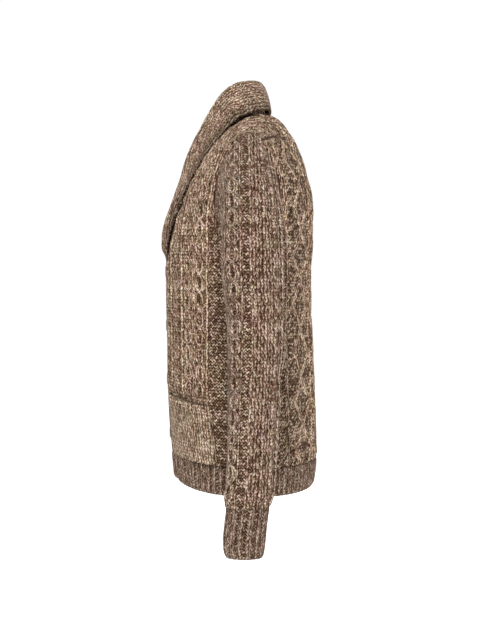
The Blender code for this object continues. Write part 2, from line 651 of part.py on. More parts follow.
# --- patch pockets -----------------------------------------------------------------------------
def pocket(left):
    """A plain knit patch lying on the front panel, with a ribbed trim along its top edge."""
    count = 2 * round((POCKET["rear_place"] - POCKET["front_place"]) / RIB_PITCH) + 1
    places = np.linspace(POCKET["front_place"], POCKET["rear_place"], count)
    shares = places / front_length() / 2
    along = (places - places[0]) / (places[-1] - places[0])
    top = POCKET["top_front_z"] + along * (POCKET["top_rear_z"] - POCKET["top_front_z"])
    trim = 1 - POCKET["trim"] / POCKET["height"]
    steps = np.array([0.0, 0.04, 0.42, trim, trim + 0.03, 0.985, 1.0])
    base = []
    for t in steps:
        z = POCKET["bottom_z"] + t * (top - POCKET["bottom_z"])
        points = []
        for share, height in zip(shares, z):
            x, y = section(height, np.array([share]))
            points.append(level(x, y + lap_dip(x, left), height)[0])
        base.append(points)
    base = np.array(base)
    on_trim = (steps > trim)[:, None]
    relief = np.where(on_trim, np.arange(count) % 2 * RIB_HEIGHT + TRIM_RAISE, 0.0)
    out = normals(base)
    from_sides = smooth(np.minimum(np.arange(count), np.arange(count)[::-1]) / 1.5)
    under = POCKET_CLEAR + POCKET_LIFT * from_sides[None, :, None] * smooth(steps * 6)[:, None, None]
    outer = base + out * (relief[..., None] + WALL + under)
    inner = base + out * under
    if not left:
        outer, inner, relief = mirrored(outer), mirrored(inner), relief[:, ::-1]
    name = f"pocket_{'L' if left else 'R'}"
    return wall(name, "knit_body", outer, inner, relief, inner_rows=1, spacing=0.012)


# --- sleeves and cuffs -------------------------------------------------------------------------
def sleeve_ring(z, degrees):
    """Points round a sleeve at height z: 0 degrees on the inner side, 90 in front, 180 outside."""
    values = [float(table_curve(SLEEVE, SLEEVE_COLUMNS, z, name)) for name in SLEEVE_COLUMNS[1:]]
    front, back, inner, across = values
    turn = np.radians(degrees)
    power = 2 / SLEEVE_ROUNDNESS
    cos, sin = np.cos(turn), np.sin(turn)
    x = inner + across / 2 - np.sign(cos) * np.abs(cos) ** power * across / 2
    y = (front + back) / 2 - np.sign(sin) * np.abs(sin) ** power * (back - front) / 2
    return np.stack([x, y, np.full_like(x, z)], axis=-1)


def armhole_loop(degrees):
    """Points of the armhole's edge: 0 degrees at the underarm, 90 halfway up the front, 180 on top."""
    degrees = np.asarray(degrees, float)
    angle = np.where(degrees <= 180, degrees / 2, 90 + (degrees - 180) / 2)
    points = arch(armhole_x(angle), angle)
    return points + np.array([SEAM_GAP + 0.0008, 0.0, 0.0])


def sleeve(left):
    places, kinds = strip_columns(SLEEVE_STRIPS)
    degrees = places[:-1]
    kinds = kinds[:-1]
    bottom = CUFF_TOP + 2 * SEAM_GAP
    levels = np.linspace(bottom, SLEEVE_TOP_Z, round((SLEEVE_TOP_Z - bottom) / PANEL_STEP) + 1)
    rows = [sleeve_ring(z, degrees) for z in levels]
    start, end = rows[-1], armhole_loop(degrees)
    end[:, 2] += 0.0006
    span = np.linalg.norm(end - start, axis=1, keepdims=True)
    rise = np.array([0.0, 0.0, 1.0]) * span * CAP_RISE
    over = np.array([-1.0, 0.0, CAP_SLOPE]) / math.hypot(1.0, CAP_SLOPE) * span * CAP_REACH
    for t in np.linspace(0.0, 1.0, CAP_ROWS + 1)[1:]:
        rows.append((2 * t**3 - 3 * t**2 + 1) * start + (t**3 - 2 * t**2 + t) * rise
                    + (3 * t**2 - 2 * t**3) * end + (t**3 - t**2) * over)
    base = np.array(rows)
    relief = np.array([[knit_height(*kind, row) for kind in kinds] for row in range(len(rows))])
    relief[0] = relief[-1] = 0
    out = normals(base, closed=True)
    outer, inner = base + out * relief[..., None], base - out * WALL
    if not left:
        outer, inner, relief = mirrored(outer), mirrored(inner), relief[:, ::-1]
    return wall(f"sleeve_{'L' if left else 'R'}", "knit_body", outer, inner, relief, closed=True)


def cuff(left):
    middle = (CUFF_BOTTOM + CUFF_TOP) / 2
    levels = (CUFF_BOTTOM, CUFF_BOTTOM + CUFF_TURN, middle, CUFF_TOP - CUFF_TURN, CUFF_TOP)
    count = 2 * round(math.pi * CUFF_ACROSS / RIB_PITCH)
    degrees = np.arange(count) * 360 / count
    base = np.array([sleeve_ring(z, degrees) for z in levels])
    relief = ribbed(count, len(levels))
    out = normals(base, closed=True)
    outer, inner = base + out * relief[..., None], base - out * WALL
    if not left:
        outer, inner, relief = mirrored(outer), mirrored(inner), relief[:, ::-1]
    return wall(f"cuff_{'L' if left else 'R'}", "knit_rib", outer, inner, relief, closed=True)


# --- shawl collar ------------------------------------------------------------------------------
def neck_seam(along):
    """A point of the neck seam, from the centre back (0) by the shoulder to the end of the neckline (1)."""
    back = [arch(x, float(seam_angle(x))) for x in np.linspace(0.0, 0.079, 20)]
    front = [neck_edge(a) for a in np.linspace(float(seam_angle(0.080)), NECK[0][0], 60)]
    line = np.array(back + front)
    length = np.concatenate([[0.0], np.cumsum(np.linalg.norm(np.diff(line, axis=0), axis=1))])
    return np.array([np.interp(along * length[-1], length, line[:, k]) for k in range(3)])


def stand_off(point, gap):
    """The point, moved out of the body's form where it is nearer to it than the gap."""
    x, y, z = point
    if z <= ARM_Z:
        front = -float(torso(z, "front")) * float(depth_share(x, z)) - gap
        return np.array([x, min(y, front), z])
    back = y > RIDGE_Y
    fullness = float(shoulder(x, "back_fullness" if back else "front_fullness"))
    depth = float(torso(ARM_Z, "back") if back else torso(ARM_Z, "front")) * float(depth_share(x, ARM_Z))
    reach_y = depth - RIDGE_Y if back else depth + RIDGE_Y
    reach_z = float(shoulder(x, "ridge_z")) - ARM_Z
    ray = np.array([y - RIDGE_Y, z - ARM_Z])
    size = (abs(ray[0]) / reach_y) ** fullness + (ray[1] / reach_z) ** fullness
    surface = np.linalg.norm(ray) * size ** (-1 / fullness)
    if np.linalg.norm(ray) < surface + gap:
        ray = ray / np.linalg.norm(ray) * (surface + gap)
    return np.array([x, RIDGE_Y + ray[0], ARM_Z + ray[1]])


def collar_section(along):
    """The middle line of the folded strip at one station: up the stand, round the roll and down the fall."""
    roll = np.array([float(table_curve(COLLAR, COLLAR_COLUMNS, along, f"roll_{k}")) for k in "xyz"])
    edge = np.array([float(table_curve(COLLAR, COLLAR_COLUMNS, along, f"edge_{k}")) for k in "xyz"])
    seam = neck_seam(along)
    down = (seam - roll) / np.linalg.norm(seam - roll) + (edge - roll) / np.linalg.norm(edge - roll)
    down = down / np.linalg.norm(down)
    apart = edge - seam
    apart = apart - down * apart.dot(down)
    apart = apart / np.linalg.norm(apart)
    over_cables = float(smooth((along - LIFT_FROM) / LIFT_OVER))
    lift = ROOT_LIFT_BACK + (ROOT_LIFT_FRONT - ROOT_LIFT_BACK) * over_cables
    root = seam - down * lift - apart * ROOT_IN
    over_back = 1 - float(smooth((along - BACK_LIFT_FROM) / BACK_LIFT_OVER))
    clear = COLLAR_WALL / 2 + CABLE_HEIGHT * max(over_cables, over_back) + FALL_GAP
    edge = stand_off(edge, clear)
    stand_top = roll + (down - apart) * ROLL_RADIUS
    fall_top = roll + (down + apart) * ROLL_RADIUS
    line = [root + (stand_top - root) * t for t in np.linspace(0.0, 1.0, STAND_POINTS)]
    line += [roll + down * ROLL_RADIUS * 0.3 - apart * ROLL_RADIUS * 0.75, roll,
             roll + down * ROLL_RADIUS * 0.3 + apart * ROLL_RADIUS * 0.75]
    full = BACK_BULGE + (1 - BACK_BULGE) * float(smooth((along - BULGE_FROM) / BULGE_OVER))
    bulge = FALL_BULGE * full * np.linalg.norm(edge - fall_top) / 0.06
    for t in np.linspace(0.0, 1.0, FALL_POINTS):
        point = fall_top + (edge - fall_top) * t + apart * bulge * math.sin(math.pi * t)
        line.append(stand_off(point, clear))
    return np.array(line)


def shawl_collar():
    behind = np.linspace(0.0, NECK_CORNER, BACK_STATIONS)
    stations = np.concatenate([behind, np.linspace(NECK_CORNER, 1.0, FRONT_STATIONS)[1:]])
    half = np.array([collar_section(a) for a in stations])
    half[0, :, 0] = 0.0
    base = np.concatenate([(half * np.array([-1.0, 1.0, 1.0]))[::-1], half[1:]])
    count = base.shape[1]
    relief = np.tile((np.arange(count) % 2) * COLLAR_RIB, (len(base), 1))
    relief[:, 0] = relief[:, -1] = 0
    out = -normals(base)
    outer = base + out * (relief[..., None] + COLLAR_WALL / 2)
    inner = base - out * COLLAR_WALL / 2
    return wall("shawl_collar", "knit_rib", outer, inner, relief, inner_rows=2, spacing=0.010)


# --- buttons -----------------------------------------------------------------------------------
def button(number):
    """A flat turned button with a raised rim, lying on the over band."""
    z = BUTTON_TOP_Z - number * BUTTON_STEP
    back = -float(torso(z, "front")) - RIB_HEIGHT * BAND_RIB - BUTTON_GAP
    turns = [2 * math.pi * k / BUTTON_SEGMENTS for k in range(BUTTON_SEGMENTS)]
    points, faces, rings = [], [], []
    for share, height in BUTTON_PROFILE:
        y = back - height * BUTTON_THICK
        radius = share * BUTTON_RADIUS
        if radius == 0:
            rings.append([len(points)] * BUTTON_SEGMENTS)
            points.append((0.0, y, z))
            continue
        rings.append(list(range(len(points), len(points) + BUTTON_SEGMENTS)))
        for turn in turns:
            points.append((radius * math.cos(turn), y, z + radius * math.sin(turn)))
    for low, high in zip(rings, rings[1:]):
        for k in range(BUTTON_SEGMENTS):
            after = (k + 1) % BUTTON_SEGMENTS
            corners = dict.fromkeys((low[k], low[after], high[after], high[k]))
            faces.append(tuple(corners))
    return solid(f"button_{number + 1}", "button", points, faces)


# --- the whole garment -------------------------------------------------------------------------
def cardigan():
    for old in list(bpy.data.objects):
        bpy.data.objects.remove(old, do_unlink=True)
    back_panel()
    back_hem_rib()
    for left in (True, False):
        front_panel(left)
        front_hem_rib(left)
        sleeve(left)
        cuff(left)
        front_band(left)
        pocket(left)
    shawl_collar()
    for number in range(BUTTON_COUNT):
        button(number)


cardigan()
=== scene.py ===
# %% [markdown]
# A shawl collar cardigan in a chunky marled cable knit, filled out as if worn. On the real garment every
# piece is knitted to shape and then linked to its neighbours, and the yarn itself, two brown and beige plies
# twisted together, gives the speckled look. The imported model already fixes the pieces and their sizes. This
# lesson rebuilds each one on the same form with a much finer grid, so that cables, ribs and lattice become
# real relief, and leaves single stitches to the material.

import math

import bmesh
import bpy
import numpy as np
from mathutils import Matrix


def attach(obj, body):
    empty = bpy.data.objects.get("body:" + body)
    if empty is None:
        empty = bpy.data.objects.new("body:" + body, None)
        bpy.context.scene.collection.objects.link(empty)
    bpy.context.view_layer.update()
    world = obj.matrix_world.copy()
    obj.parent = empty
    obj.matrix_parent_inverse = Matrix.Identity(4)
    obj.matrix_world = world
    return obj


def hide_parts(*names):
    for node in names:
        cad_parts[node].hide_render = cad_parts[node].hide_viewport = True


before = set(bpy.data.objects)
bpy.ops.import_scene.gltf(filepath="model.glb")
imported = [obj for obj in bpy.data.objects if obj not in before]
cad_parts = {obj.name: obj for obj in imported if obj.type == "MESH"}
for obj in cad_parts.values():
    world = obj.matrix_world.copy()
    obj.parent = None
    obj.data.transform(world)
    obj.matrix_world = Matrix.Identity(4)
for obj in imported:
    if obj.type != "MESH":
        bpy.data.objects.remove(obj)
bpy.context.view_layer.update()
print("frame nodes:", len(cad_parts))


def placed(name, data):
    """An object in the scene that carries a mesh, a lamp or a camera."""
    thing = bpy.data.objects.new(name, data)
    bpy.context.scene.collection.objects.link(thing)
    return thing


def sided(stem, left):
    return f"{stem}_{'left' if left else 'right'}"

# %% [markdown]
# The form first. A filled-out garment has no simple solid shape, so it is described as a knitter's pattern
# would be: a few horizontal sections of the body, a table for the slope of the shoulder, and the lines along
# which neck and armhole are cut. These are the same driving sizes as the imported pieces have, in metres, with
# +Z up, the front facing -Y and the wearer's left at +X.

# %% Driving sizes of the body
HEM_Z = -0.620
HEM_RIB = 0.046
ARM_Z = -0.225
WALL = 0.0036
SIDE_DROP, HEM_TILT = 0.007, 0.0055
SEAM_GAP = 0.0004
CABLE_HEIGHT, RIDGE_HEIGHT, RIB_HEIGHT = 0.0034, 0.0028, 0.0019
HEM_LEVELS = np.array([0.0, 0.006, HEM_RIB - 0.006, HEM_RIB])
HEM_PULL = np.array([-0.012, 0.0, 0.0, -0.008])
RIB_PITCH = 0.0120
ROUNDNESS = 2.2
BAND_HALF = 0.0225
BAND_LAP = 0.0043
LAP_START, LAP_SPAN = 0.002, 0.028
BAND_RIB = 0.6
BAND_TOP_GAP = 0.0034
EDGE_RIB = 0.4
PANEL_STEP, LATTICE_STEP = 0.0190, 0.015
RIDGE_Y = 0.020
BLADE_BULGE, BLADE_Z, BLADE_SPAN = 0.004, -0.140, 0.050
SHOULDER_GAP = 0.25
DEGREE_DROP = 0.0025
FRONT_SWEEP, BACK_SWEEP = 112.0, 62.0

TORSO_COLUMNS = ("z", "front", "back", "half_width")
TORSO = (
    (-0.640, 0.1060, 0.1230, 0.196),
    (-0.620, 0.1080, 0.1255, 0.197),
    (-0.589, 0.1110, 0.1300, 0.199),
    (-0.537, 0.1165, 0.1285, 0.199),
    (-0.485, 0.1195, 0.1270, 0.196),
    (-0.433, 0.1210, 0.1250, 0.192),
    (-0.381, 0.1215, 0.1230, 0.189),
    (-0.329, 0.1230, 0.1205, 0.188),
    (-0.287, 0.1235, 0.1200, 0.190),
    (-0.256, 0.1235, 0.1205, 0.193),
    (-0.225, 0.1225, 0.1225, 0.196),
    (-0.190, 0.1215, 0.1250, 0.197),
)
SHOULDER_COLUMNS = ("x", "ridge_z", "seam_z", "front_fullness", "back_fullness")
SHOULDER = (
    (0.000, 0.0100, 0.0075, 1.50, 2.40),
    (0.050, 0.0060, 0.0039, 1.50, 2.35),
    (0.070, 0.0020, 0.0010, 1.50, 2.30),
    (0.085, -0.0030, -0.0085, 1.52, 2.28),
    (0.100, -0.0090, -0.0245, 1.56, 2.25),
    (0.120, -0.0170, -0.0415, 1.68, 2.20),
    (0.150, -0.0300, -0.0490, 1.90, 2.20),
    (0.186, -0.0456, -0.0600, 2.20, 2.20),
    (0.200, -0.0520, -0.0660, 2.20, 2.20),
)
NECK_COLUMNS = ("angle", "x")
NECK = ((-9.0, 0.0230), (0.0, 0.0270), (20.0, 0.0370), (45.0, 0.0540), (70.0, 0.0700), (90.0, 0.0800),
        (130.0, 0.0800))
ARMHOLE_COLUMNS = ("angle", "x")
ARMHOLE = ((0.0, 0.1960), (6.0, 0.1925), (14.0, 0.1880), (25.0, 0.1860), (90.0, 0.1865), (125.0, 0.1800),
           (150.0, 0.1720), (166.0, 0.1740), (174.0, 0.1850), (180.0, 0.1960))


# %% A smooth curve through the rows of a table
def bridge(t, start, rise, end, fall):
    """A cubic from start to end that leaves with one slope and arrives with the other."""
    return ((2 * t**3 - 3 * t**2 + 1) * start + (t**3 - 2 * t**2 + t) * rise
            + (3 * t**2 - 2 * t**3) * end + (t**3 - t**2) * fall)


def curve(at, places, values):
    slopes = np.gradient(values, places)
    at = np.clip(np.asarray(at, float), places[0], places[-1])
    cell = np.clip(np.searchsorted(places, at, side="right") - 1, 0, len(places) - 2)
    span = places[cell + 1] - places[cell]
    t = (at - places[cell]) / span
    return bridge(t, values[cell], slopes[cell] * span, values[cell + 1], slopes[cell + 1] * span)


def column(table, names, name):
    return np.array([row[names.index(name)] for row in table], float)


def table_curve(table, names, at, name):
    return curve(at, column(table, names, names[0]), column(table, names, name))


def smooth(t):
    t = np.clip(t, 0.0, 1.0)
    return t * t * (3 - 2 * t)


# %% [markdown]
# Below the underarm the body is a stack of rounded sections. A point is found by its share of the way
# round, from the centre front to the centre back, so a strip of knitting keeps its place from hem to chest.
# Above the underarm the cloth arches over the shoulder, and an angle takes over: 0 at the front, 90 on the
# ridge.

# %% The form of the body
def torso(z, name):
    return table_curve(TORSO, TORSO_COLUMNS, z, name)


def shoulder(x, name):
    return table_curve(SHOULDER, SHOULDER_COLUMNS, np.abs(x), name)


def depth_share(x, z):
    ratio = np.clip(np.abs(x) / torso(z, "half_width"), 0.0, 1.0)
    return (1 - ratio**ROUNDNESS) ** (1 / ROUNDNESS)


def section(z, share):
    turn = np.linspace(0.0, math.pi / 2, 481)
    half_width = float(torso(z, "half_width"))
    across = half_width * np.sin(turn) ** (2 / ROUNDNESS)
    share = np.asarray(share, float)
    x = np.empty_like(share)
    y = np.empty_like(share)
    for back, name in ((False, "front"), (True, "back")):
        deep = float(torso(z, name)) * np.cos(turn) ** (2 / ROUNDNESS)
        length = np.concatenate([[0.0], np.cumsum(np.hypot(np.diff(across), np.diff(deep)))])
        part = share > 0.5 if back else share <= 0.5
        place = (1 - share[part] if back else share[part]) * 2 * length[-1]
        x[part] = np.interp(place, length, across)
        y[part] = np.interp(place, length, deep) * (1 if back else -1)
    return x, y


def level(x, y, z):
    drop = SIDE_DROP * (np.abs(x) / float(torso(z, "half_width"))) ** 2
    drop = drop + HEM_TILT * y / float(torso(z, "back"))
    return np.stack([x, y, z - drop * smooth((ARM_Z - z) / 0.35)], axis=-1)


def arch(x, angle):
    x, angle = np.broadcast_arrays(np.asarray(x, float), np.asarray(angle, float))
    turn = np.radians(np.clip(angle, 0.0, 180.0))
    back = angle > 90
    depth = np.where(back, torso(ARM_Z, "back"), -torso(ARM_Z, "front")) * depth_share(x, ARM_Z)
    fullness = np.where(back, shoulder(x, "back_fullness"), shoulder(x, "front_fullness"))
    ridge = shoulder(x, "ridge_z")
    y = RIDGE_Y + (depth - RIDGE_Y) * np.abs(np.cos(turn)) ** (2 / fullness)
    z = ARM_Z + (ridge - ARM_Z) * np.sin(turn) ** (2 / fullness)
    bulge = BLADE_BULGE * np.exp(-(((z - BLADE_Z) / BLADE_SPAN) ** 2)) * depth_share(x, ARM_Z)
    y = y + np.where(back, bulge, 0.0)
    return np.stack([x, y, z], axis=-1)


def seam_angle(x):
    fullness = shoulder(x, "back_fullness")
    rise = (shoulder(x, "seam_z") - ARM_Z) / (shoulder(x, "ridge_z") - ARM_Z)
    return 180 - np.degrees(np.arcsin(np.clip(rise, 0, 1) ** (fullness / 2)))


ARM_SHARES = np.linspace(0.0, 0.5, 401)
ARM_X = section(ARM_Z, ARM_SHARES)[0]


def share_of_x(x):
    return np.interp(x, ARM_X, ARM_SHARES)


def neck_x(angle):
    return table_curve(NECK, NECK_COLUMNS, angle, "x")


def armhole_x(angle):
    return table_curve(ARMHOLE, ARMHOLE_COLUMNS, angle, "x")


waist_x, waist_y = section(-0.35, np.linspace(0.0, 0.5, 101))
FRONT_LENGTH = float(np.hypot(np.diff(waist_x), np.diff(waist_y)).sum())
print(f"half the front measures {FRONT_LENGTH * 1000:.0f} mm round the waist")

# %% [markdown]
# Knitting patterns are strips side by side: reverse stitches as the ground, slim ridges, cables of two
# crossing strands, and a lattice of cords up the back. Each strip is a small height formula. A cable's
# strands swing from side to side and pass over one another in turn. The same formula says which way the
# stitches lean, so that the material's little V shapes can follow each strand.

# %% Heights of the knitted strips
FRONT_STRIPS = (
    (18, "purl"), (24, "cable"), (16, "purl"), (9, "ridge"), (13, "purl"), (24, "cable"), (8, "purl"),
    (7, "ridge"), (3, "purl"), (24, "cable"), (7, "ridge"), (23, "cable"), (7, "ridge"), (32, "purl"),
    (6, "ridge"), (14, "purl"),
)
BACK_STRIPS = (
    (72, "lattice"), (8, "ridge"), (6, "purl"), (6, "ridge"), (2, "purl"), (68, "diamonds"), (10, "purl"),
    (8, "ridge"), (24, "purl"), (10, "ridge"), (46, "purl"),
)
SLEEVE_STRIPS = (
    (60, "purl"), (8, "ridge"), (44, "plain"), (36, "cable"), (6, "ridge"), (16, "purl"), (6, "ridge"),
    (22, "plain"), (5, "ridge"), (18, "plain"), (5, "ridge"), (14, "plain"),
    (8, "ridge"), (14, "purl"), (8, "ridge"), (90, "purl"),
)
CABLE_TURN = 1.5  # rows of the pattern from one crossing to the next
LATTICE_PITCH, LATTICE_LEAN = 60.0, 11.5  # mm between cords, and sideways for each row
DIAMOND_SHIFT = -1.57  # rows, so that a crossing falls at the waist
PLAIN_HEIGHT = 0.0008
CORD_HALF = 5.6
STRAND_SHARE = 0.18  # half the width of a cable's strand, as a share of the cable
STRAND_TURN = 1.7  # how quickly a strand crosses over: higher is quicker
SOFT_EDGE = 0.55  # how round a raised strand is: lower is flatter on top


def rounded(t):
    return np.clip(1 - t * t, 0.0, 1.0) ** SOFT_EDGE


def ridge(across, width, row):
    height = RIDGE_HEIGHT * rounded(2 * across / width)
    return height, np.zeros_like(across), (height > 0).astype(float)


def purl(across, width, row):
    zero = np.zeros_like(across)
    return zero, zero, zero


def strand_path(row):
    swing = np.cos(math.pi * row / CABLE_TURN)
    return np.tanh(STRAND_TURN * swing) / math.tanh(STRAND_TURN)


def cable(across, width, row):
    half = STRAND_SHARE * width
    reach = width / 2 - half - 0.5
    over = np.sin(math.pi * row / CABLE_TURN)
    first = reach * strand_path(row)
    heights, nearness = [], []
    for middle, lift in ((first, over), (-first, -over)):
        off = (across - middle) / half
        heights.append(CABLE_HEIGHT * rounded(off) * (0.86 + 0.22 * lift))
        nearness.append(heights[-1] / CABLE_HEIGHT - 0.01 * np.abs(off))
    height = np.maximum(heights[0], heights[1])
    return height, np.where(nearness[0] >= nearness[1], first, -first), (height > 0).astype(float)


def plain_knit(across, width, row):
    height = PLAIN_HEIGHT * smooth((width / 2 - np.abs(across)) / 3)
    return height, np.zeros_like(across), np.ones_like(across)


def diamonds(across, width, row):
    """One column of diamonds: the lattice, centred on its strip."""
    return lattice(across + LATTICE_PITCH / 2 - width / 2, width, row + DIAMOND_SHIFT)


def lattice(across, width, row):
    place = across + width / 2
    steep = math.cos(math.atan2(LATTICE_LEAN, LATTICE_STEP * 1000))
    heights, leans, nearness = [], [], []
    for way in (1, -1):
        off = (place - way * LATTICE_LEAN * row + LATTICE_PITCH / 2) % LATTICE_PITCH - LATTICE_PITCH / 2
        lift = way * np.cos(math.pi * row / 3)
        heights.append(CABLE_HEIGHT * rounded(off * steep / CORD_HALF) * (0.9 + 0.15 * lift))
        leans.append(way * LATTICE_LEAN * row)
        nearness.append(heights[-1] / CABLE_HEIGHT - 0.01 * np.abs(off))
    height = np.maximum(heights[0], heights[1])
    lean = np.where(nearness[0] >= nearness[1], leans[0], leans[1])
    return height, lean, (height > 0).astype(float)


GROOVED = ("cable", "lattice", "diamonds")
KNITS = {"ridge": ridge, "purl": purl, "plain": plain_knit, "cable": cable, "lattice": lattice,
         "diamonds": diamonds}


def knit_field(strips, place, row):
    """Height in metres, lean in the strips' own units, 1 where stitches are plain knit, and 1 in a groove."""
    field = np.zeros((4,) + place.shape)
    start = 0.0
    for width, knit in strips:
        inside = (place >= start) & (place <= start + width)
        values = KNITS[knit](place[inside] - start - width / 2, width, row[inside])
        for layer, value in zip(field, values):
            layer[inside] = value
        if knit in GROOVED:
            field[3][inside] = np.clip(1 - 2 * values[0] / CABLE_HEIGHT, 0.0, 1.0)
        start += width
    return field


# %% [markdown]
# A wall of knitting is a grid of points on the form, pushed out by the height of the pattern, with a plain
# inside one wall thickness further in. The inside needs no detail, so it keeps every third point and is
# zipped to the outside along the edges. Each grid also carries cloth coordinates in metres, across and up
# the knitting, which become two UV maps: one plain, and one that leans with the strands. Three attributes
# say how raised a point is, which the material turns into painted highlight and shade, how plain its
# stitches are, and how much painted shade it gets.

# %% A closed wall from a grid of points
def normals(points, closed=False):
    if closed:
        round_ = np.roll(points, -1, axis=1) - np.roll(points, 1, axis=1)
    else:
        round_ = np.gradient(points, axis=1)
    normal = np.cross(round_, np.gradient(points, axis=0))
    return normal / np.maximum(np.linalg.norm(normal, axis=-1, keepdims=True), 1e-12)


def square(normal, axis):
    normal[..., axis] = 0.0
    normal /= np.linalg.norm(normal, axis=-1, keepdims=True)


def every(count, step):
    return np.array(sorted(set(range(0, count, step)) | {count - 1}))


def zip_rows(first, second, first_at, second_at):
    """Triangles between two lines of points that start and end together."""
    faces = []
    i = j = 0
    while i < len(first) - 1 or j < len(second) - 1:
        if j == len(second) - 1 or (i < len(first) - 1 and first_at[i + 1] <= second_at[j + 1]):
            faces.append((first[i], first[i + 1], second[j]))
            i += 1
        else:
            faces.append((first[i], second[j + 1], second[j]))
            j += 1
    return np.array(faces)


def quads(ids, flip=False):
    corners = [ids[:-1, :-1], ids[:-1, 1:], ids[1:, 1:], ids[1:, :-1]]
    faces = np.stack(corners[::-1] if flip else corners, axis=-1)
    return faces.reshape(-1, 4)


def mirrored(points):
    return points[:, ::-1] * np.array([-1.0, 1.0, 1.0])


INNER_STEP = 3
KNITTING_KEYS = ("height", "raised", "plain", "u", "v", "lean", "shade")


def knitted_wall(name, base, out, knitting, wall=WALL, closed=False, left=True):
    """Makes the piece. Knitting holds its height, plain, u, v and more at every point of the grid."""
    top = max(float(np.max(knitting["height"])), 1e-6)
    knitting = {"raised": knitting["height"] / top, **knitting}
    fields = {key: knitting.get(key, 0.0) + np.zeros(base.shape[:2]) for key in KNITTING_KEYS}
    outer = base + out * fields["height"][..., None]
    inner = base - out * wall
    if not left:
        outer, inner = mirrored(outer), mirrored(inner)
        fields = {key: values[:, ::-1] for key, values in fields.items()}
    height, plain = fields["height"], fields["plain"]
    rows, columns = outer.shape[:2]
    kept_rows, kept_columns = every(rows, INNER_STEP), every(columns, INNER_STEP)
    if closed:
        kept_columns = np.arange(0, columns, INNER_STEP)
    wide = columns + 1 if closed else columns
    grid = np.arange(rows * wide).reshape(rows, wide)
    inner_wide = len(kept_columns) + 1 if closed else len(kept_columns)
    inner_grid = rows * wide + np.arange(len(kept_rows) * inner_wide).reshape(len(kept_rows), inner_wide)
    vertex_of = (np.arange(rows)[:, None] * columns + np.arange(wide)[None, :] % columns).ravel()
    inner_vertices = np.arange(len(kept_rows))[:, None] * len(kept_columns)
    inner_vertices = inner_vertices + np.arange(inner_wide)[None, :] % len(kept_columns)
    vertex_of = np.concatenate([vertex_of, rows * columns + inner_vertices.ravel()])
    columns_at = np.arange(wide)
    kept_at = np.append(kept_columns, columns) if closed else kept_columns
    faces = [quads(grid), quads(inner_grid, flip=True)]
    edges = [zip_rows(grid[0], inner_grid[0], columns_at, kept_at)[:, ::-1],
             zip_rows(grid[-1], inner_grid[-1], columns_at, kept_at)]
    if not closed:
        edges.append(zip_rows(grid[:, 0], inner_grid[:, 0], np.arange(rows), kept_rows))
        edges.append(zip_rows(grid[:, -1], inner_grid[:, -1], np.arange(rows), kept_rows)[:, ::-1])
    faces += edges

    def corners(values):
        """The values at the grid's corners and then at those of the inside, on past the join of a tube."""
        full = values
        if closed:
            full = np.concatenate([values, 2 * values[:, -1:] - values[:, -2:-1]], axis=1)
        return np.concatenate([full.ravel(), full[np.ix_(kept_rows, kept_at)].ravel()])

    maps = {"cloth": np.stack([corners(fields["u"]), corners(fields["v"])], axis=-1),
            "strand": np.stack([corners(fields["u"] - fields["lean"]), corners(fields["v"])], axis=-1)}
    points = np.concatenate([outer.reshape(-1, 3), inner[np.ix_(kept_rows, kept_columns)].reshape(-1, 3)])
    inside = np.zeros(len(kept_rows) * len(kept_columns))
    piece = piece_from(name, points, faces, vertex_of, maps)
    add_attribute(piece, "raised", np.concatenate([fields["raised"].ravel(), inside + 0.5]))
    add_attribute(piece, "plain", np.concatenate([plain.ravel(), inside]))
    add_attribute(piece, "shade", np.concatenate([fields["shade"].ravel(), inside]))
    cut_wide = np.linalg.norm(np.diff(base, axis=1), axis=-1).sum(axis=1)
    cut_long = np.linalg.norm(np.diff(base, axis=0), axis=-1).sum(axis=0)
    across = np.linalg.norm(np.gradient(base, axis=1), axis=-1)
    along = np.linalg.norm(np.gradient(base, axis=0), axis=-1)
    piece["cut"] = [float(cut_wide.max()), float(cut_long.max()), float((across * along).sum())]
    return piece


def piece_from(name, points, faces, vertex_of, maps):
    mesh = bpy.data.meshes.new(name)
    corners = np.concatenate([f.reshape(-1) for f in faces])
    sizes = np.concatenate([np.full(len(f), f.shape[1]) for f in faces])
    mesh.vertices.add(len(points))
    mesh.vertices.foreach_set("co", points.astype(np.float32).ravel())
    mesh.loops.add(len(corners))
    mesh.loops.foreach_set("vertex_index", vertex_of[corners].astype(np.int32))
    mesh.polygons.add(len(sizes))
    mesh.polygons.foreach_set("loop_start", (np.cumsum(sizes) - sizes).astype(np.int32))
    mesh.update(calc_edges=True)
    for map_name, uv in maps.items():
        layer = mesh.uv_layers.new(name=map_name)
        layer.uv.foreach_set("vector", uv[corners].astype(np.float32).ravel())
    mesh.shade_smooth()
    return placed(name, mesh)


def add_attribute(piece, name, values):
    layer = piece.data.attributes.new(name, "FLOAT", "POINT")
    layer.data.foreach_set("value", values.astype(np.float32))


# %% [markdown]
# Soft cloth never hangs perfectly smooth. The creases here are listed in a table for each piece: a
# trough or ridge along a short line on the cloth, with its width and depth. Adding them to the grid before
# the pattern is raised keeps cables and ribs riding over the folds, as they do on a real garment.

# %% Soft creases
CREASE_COLUMNS = ("from_across", "from_up", "to_across", "to_up", "width", "depth")


def creases(table, across, up):
    """How far the cloth is moved out, in metres, at cloth coordinates in metres."""
    move = np.zeros_like(across)
    for row in table:
        crease = dict(zip(CREASE_COLUMNS, row))
        start = np.array([crease["from_across"], crease["from_up"]])
        end = np.array([crease["to_across"], crease["to_up"]])
        line = end - start
        length = np.linalg.norm(line)
        along = ((across - start[0]) * line[0] + (up - start[1]) * line[1]) / length**2
        off = ((across - start[0]) * line[1] - (up - start[1]) * line[0]) / length
        ends = np.exp(-((np.clip(np.abs(along - 0.5) - 0.25, 0, None) / 0.22) ** 2))
        move += crease["depth"] * ends * np.exp(-((off / crease["width"]) ** 2))
    return move


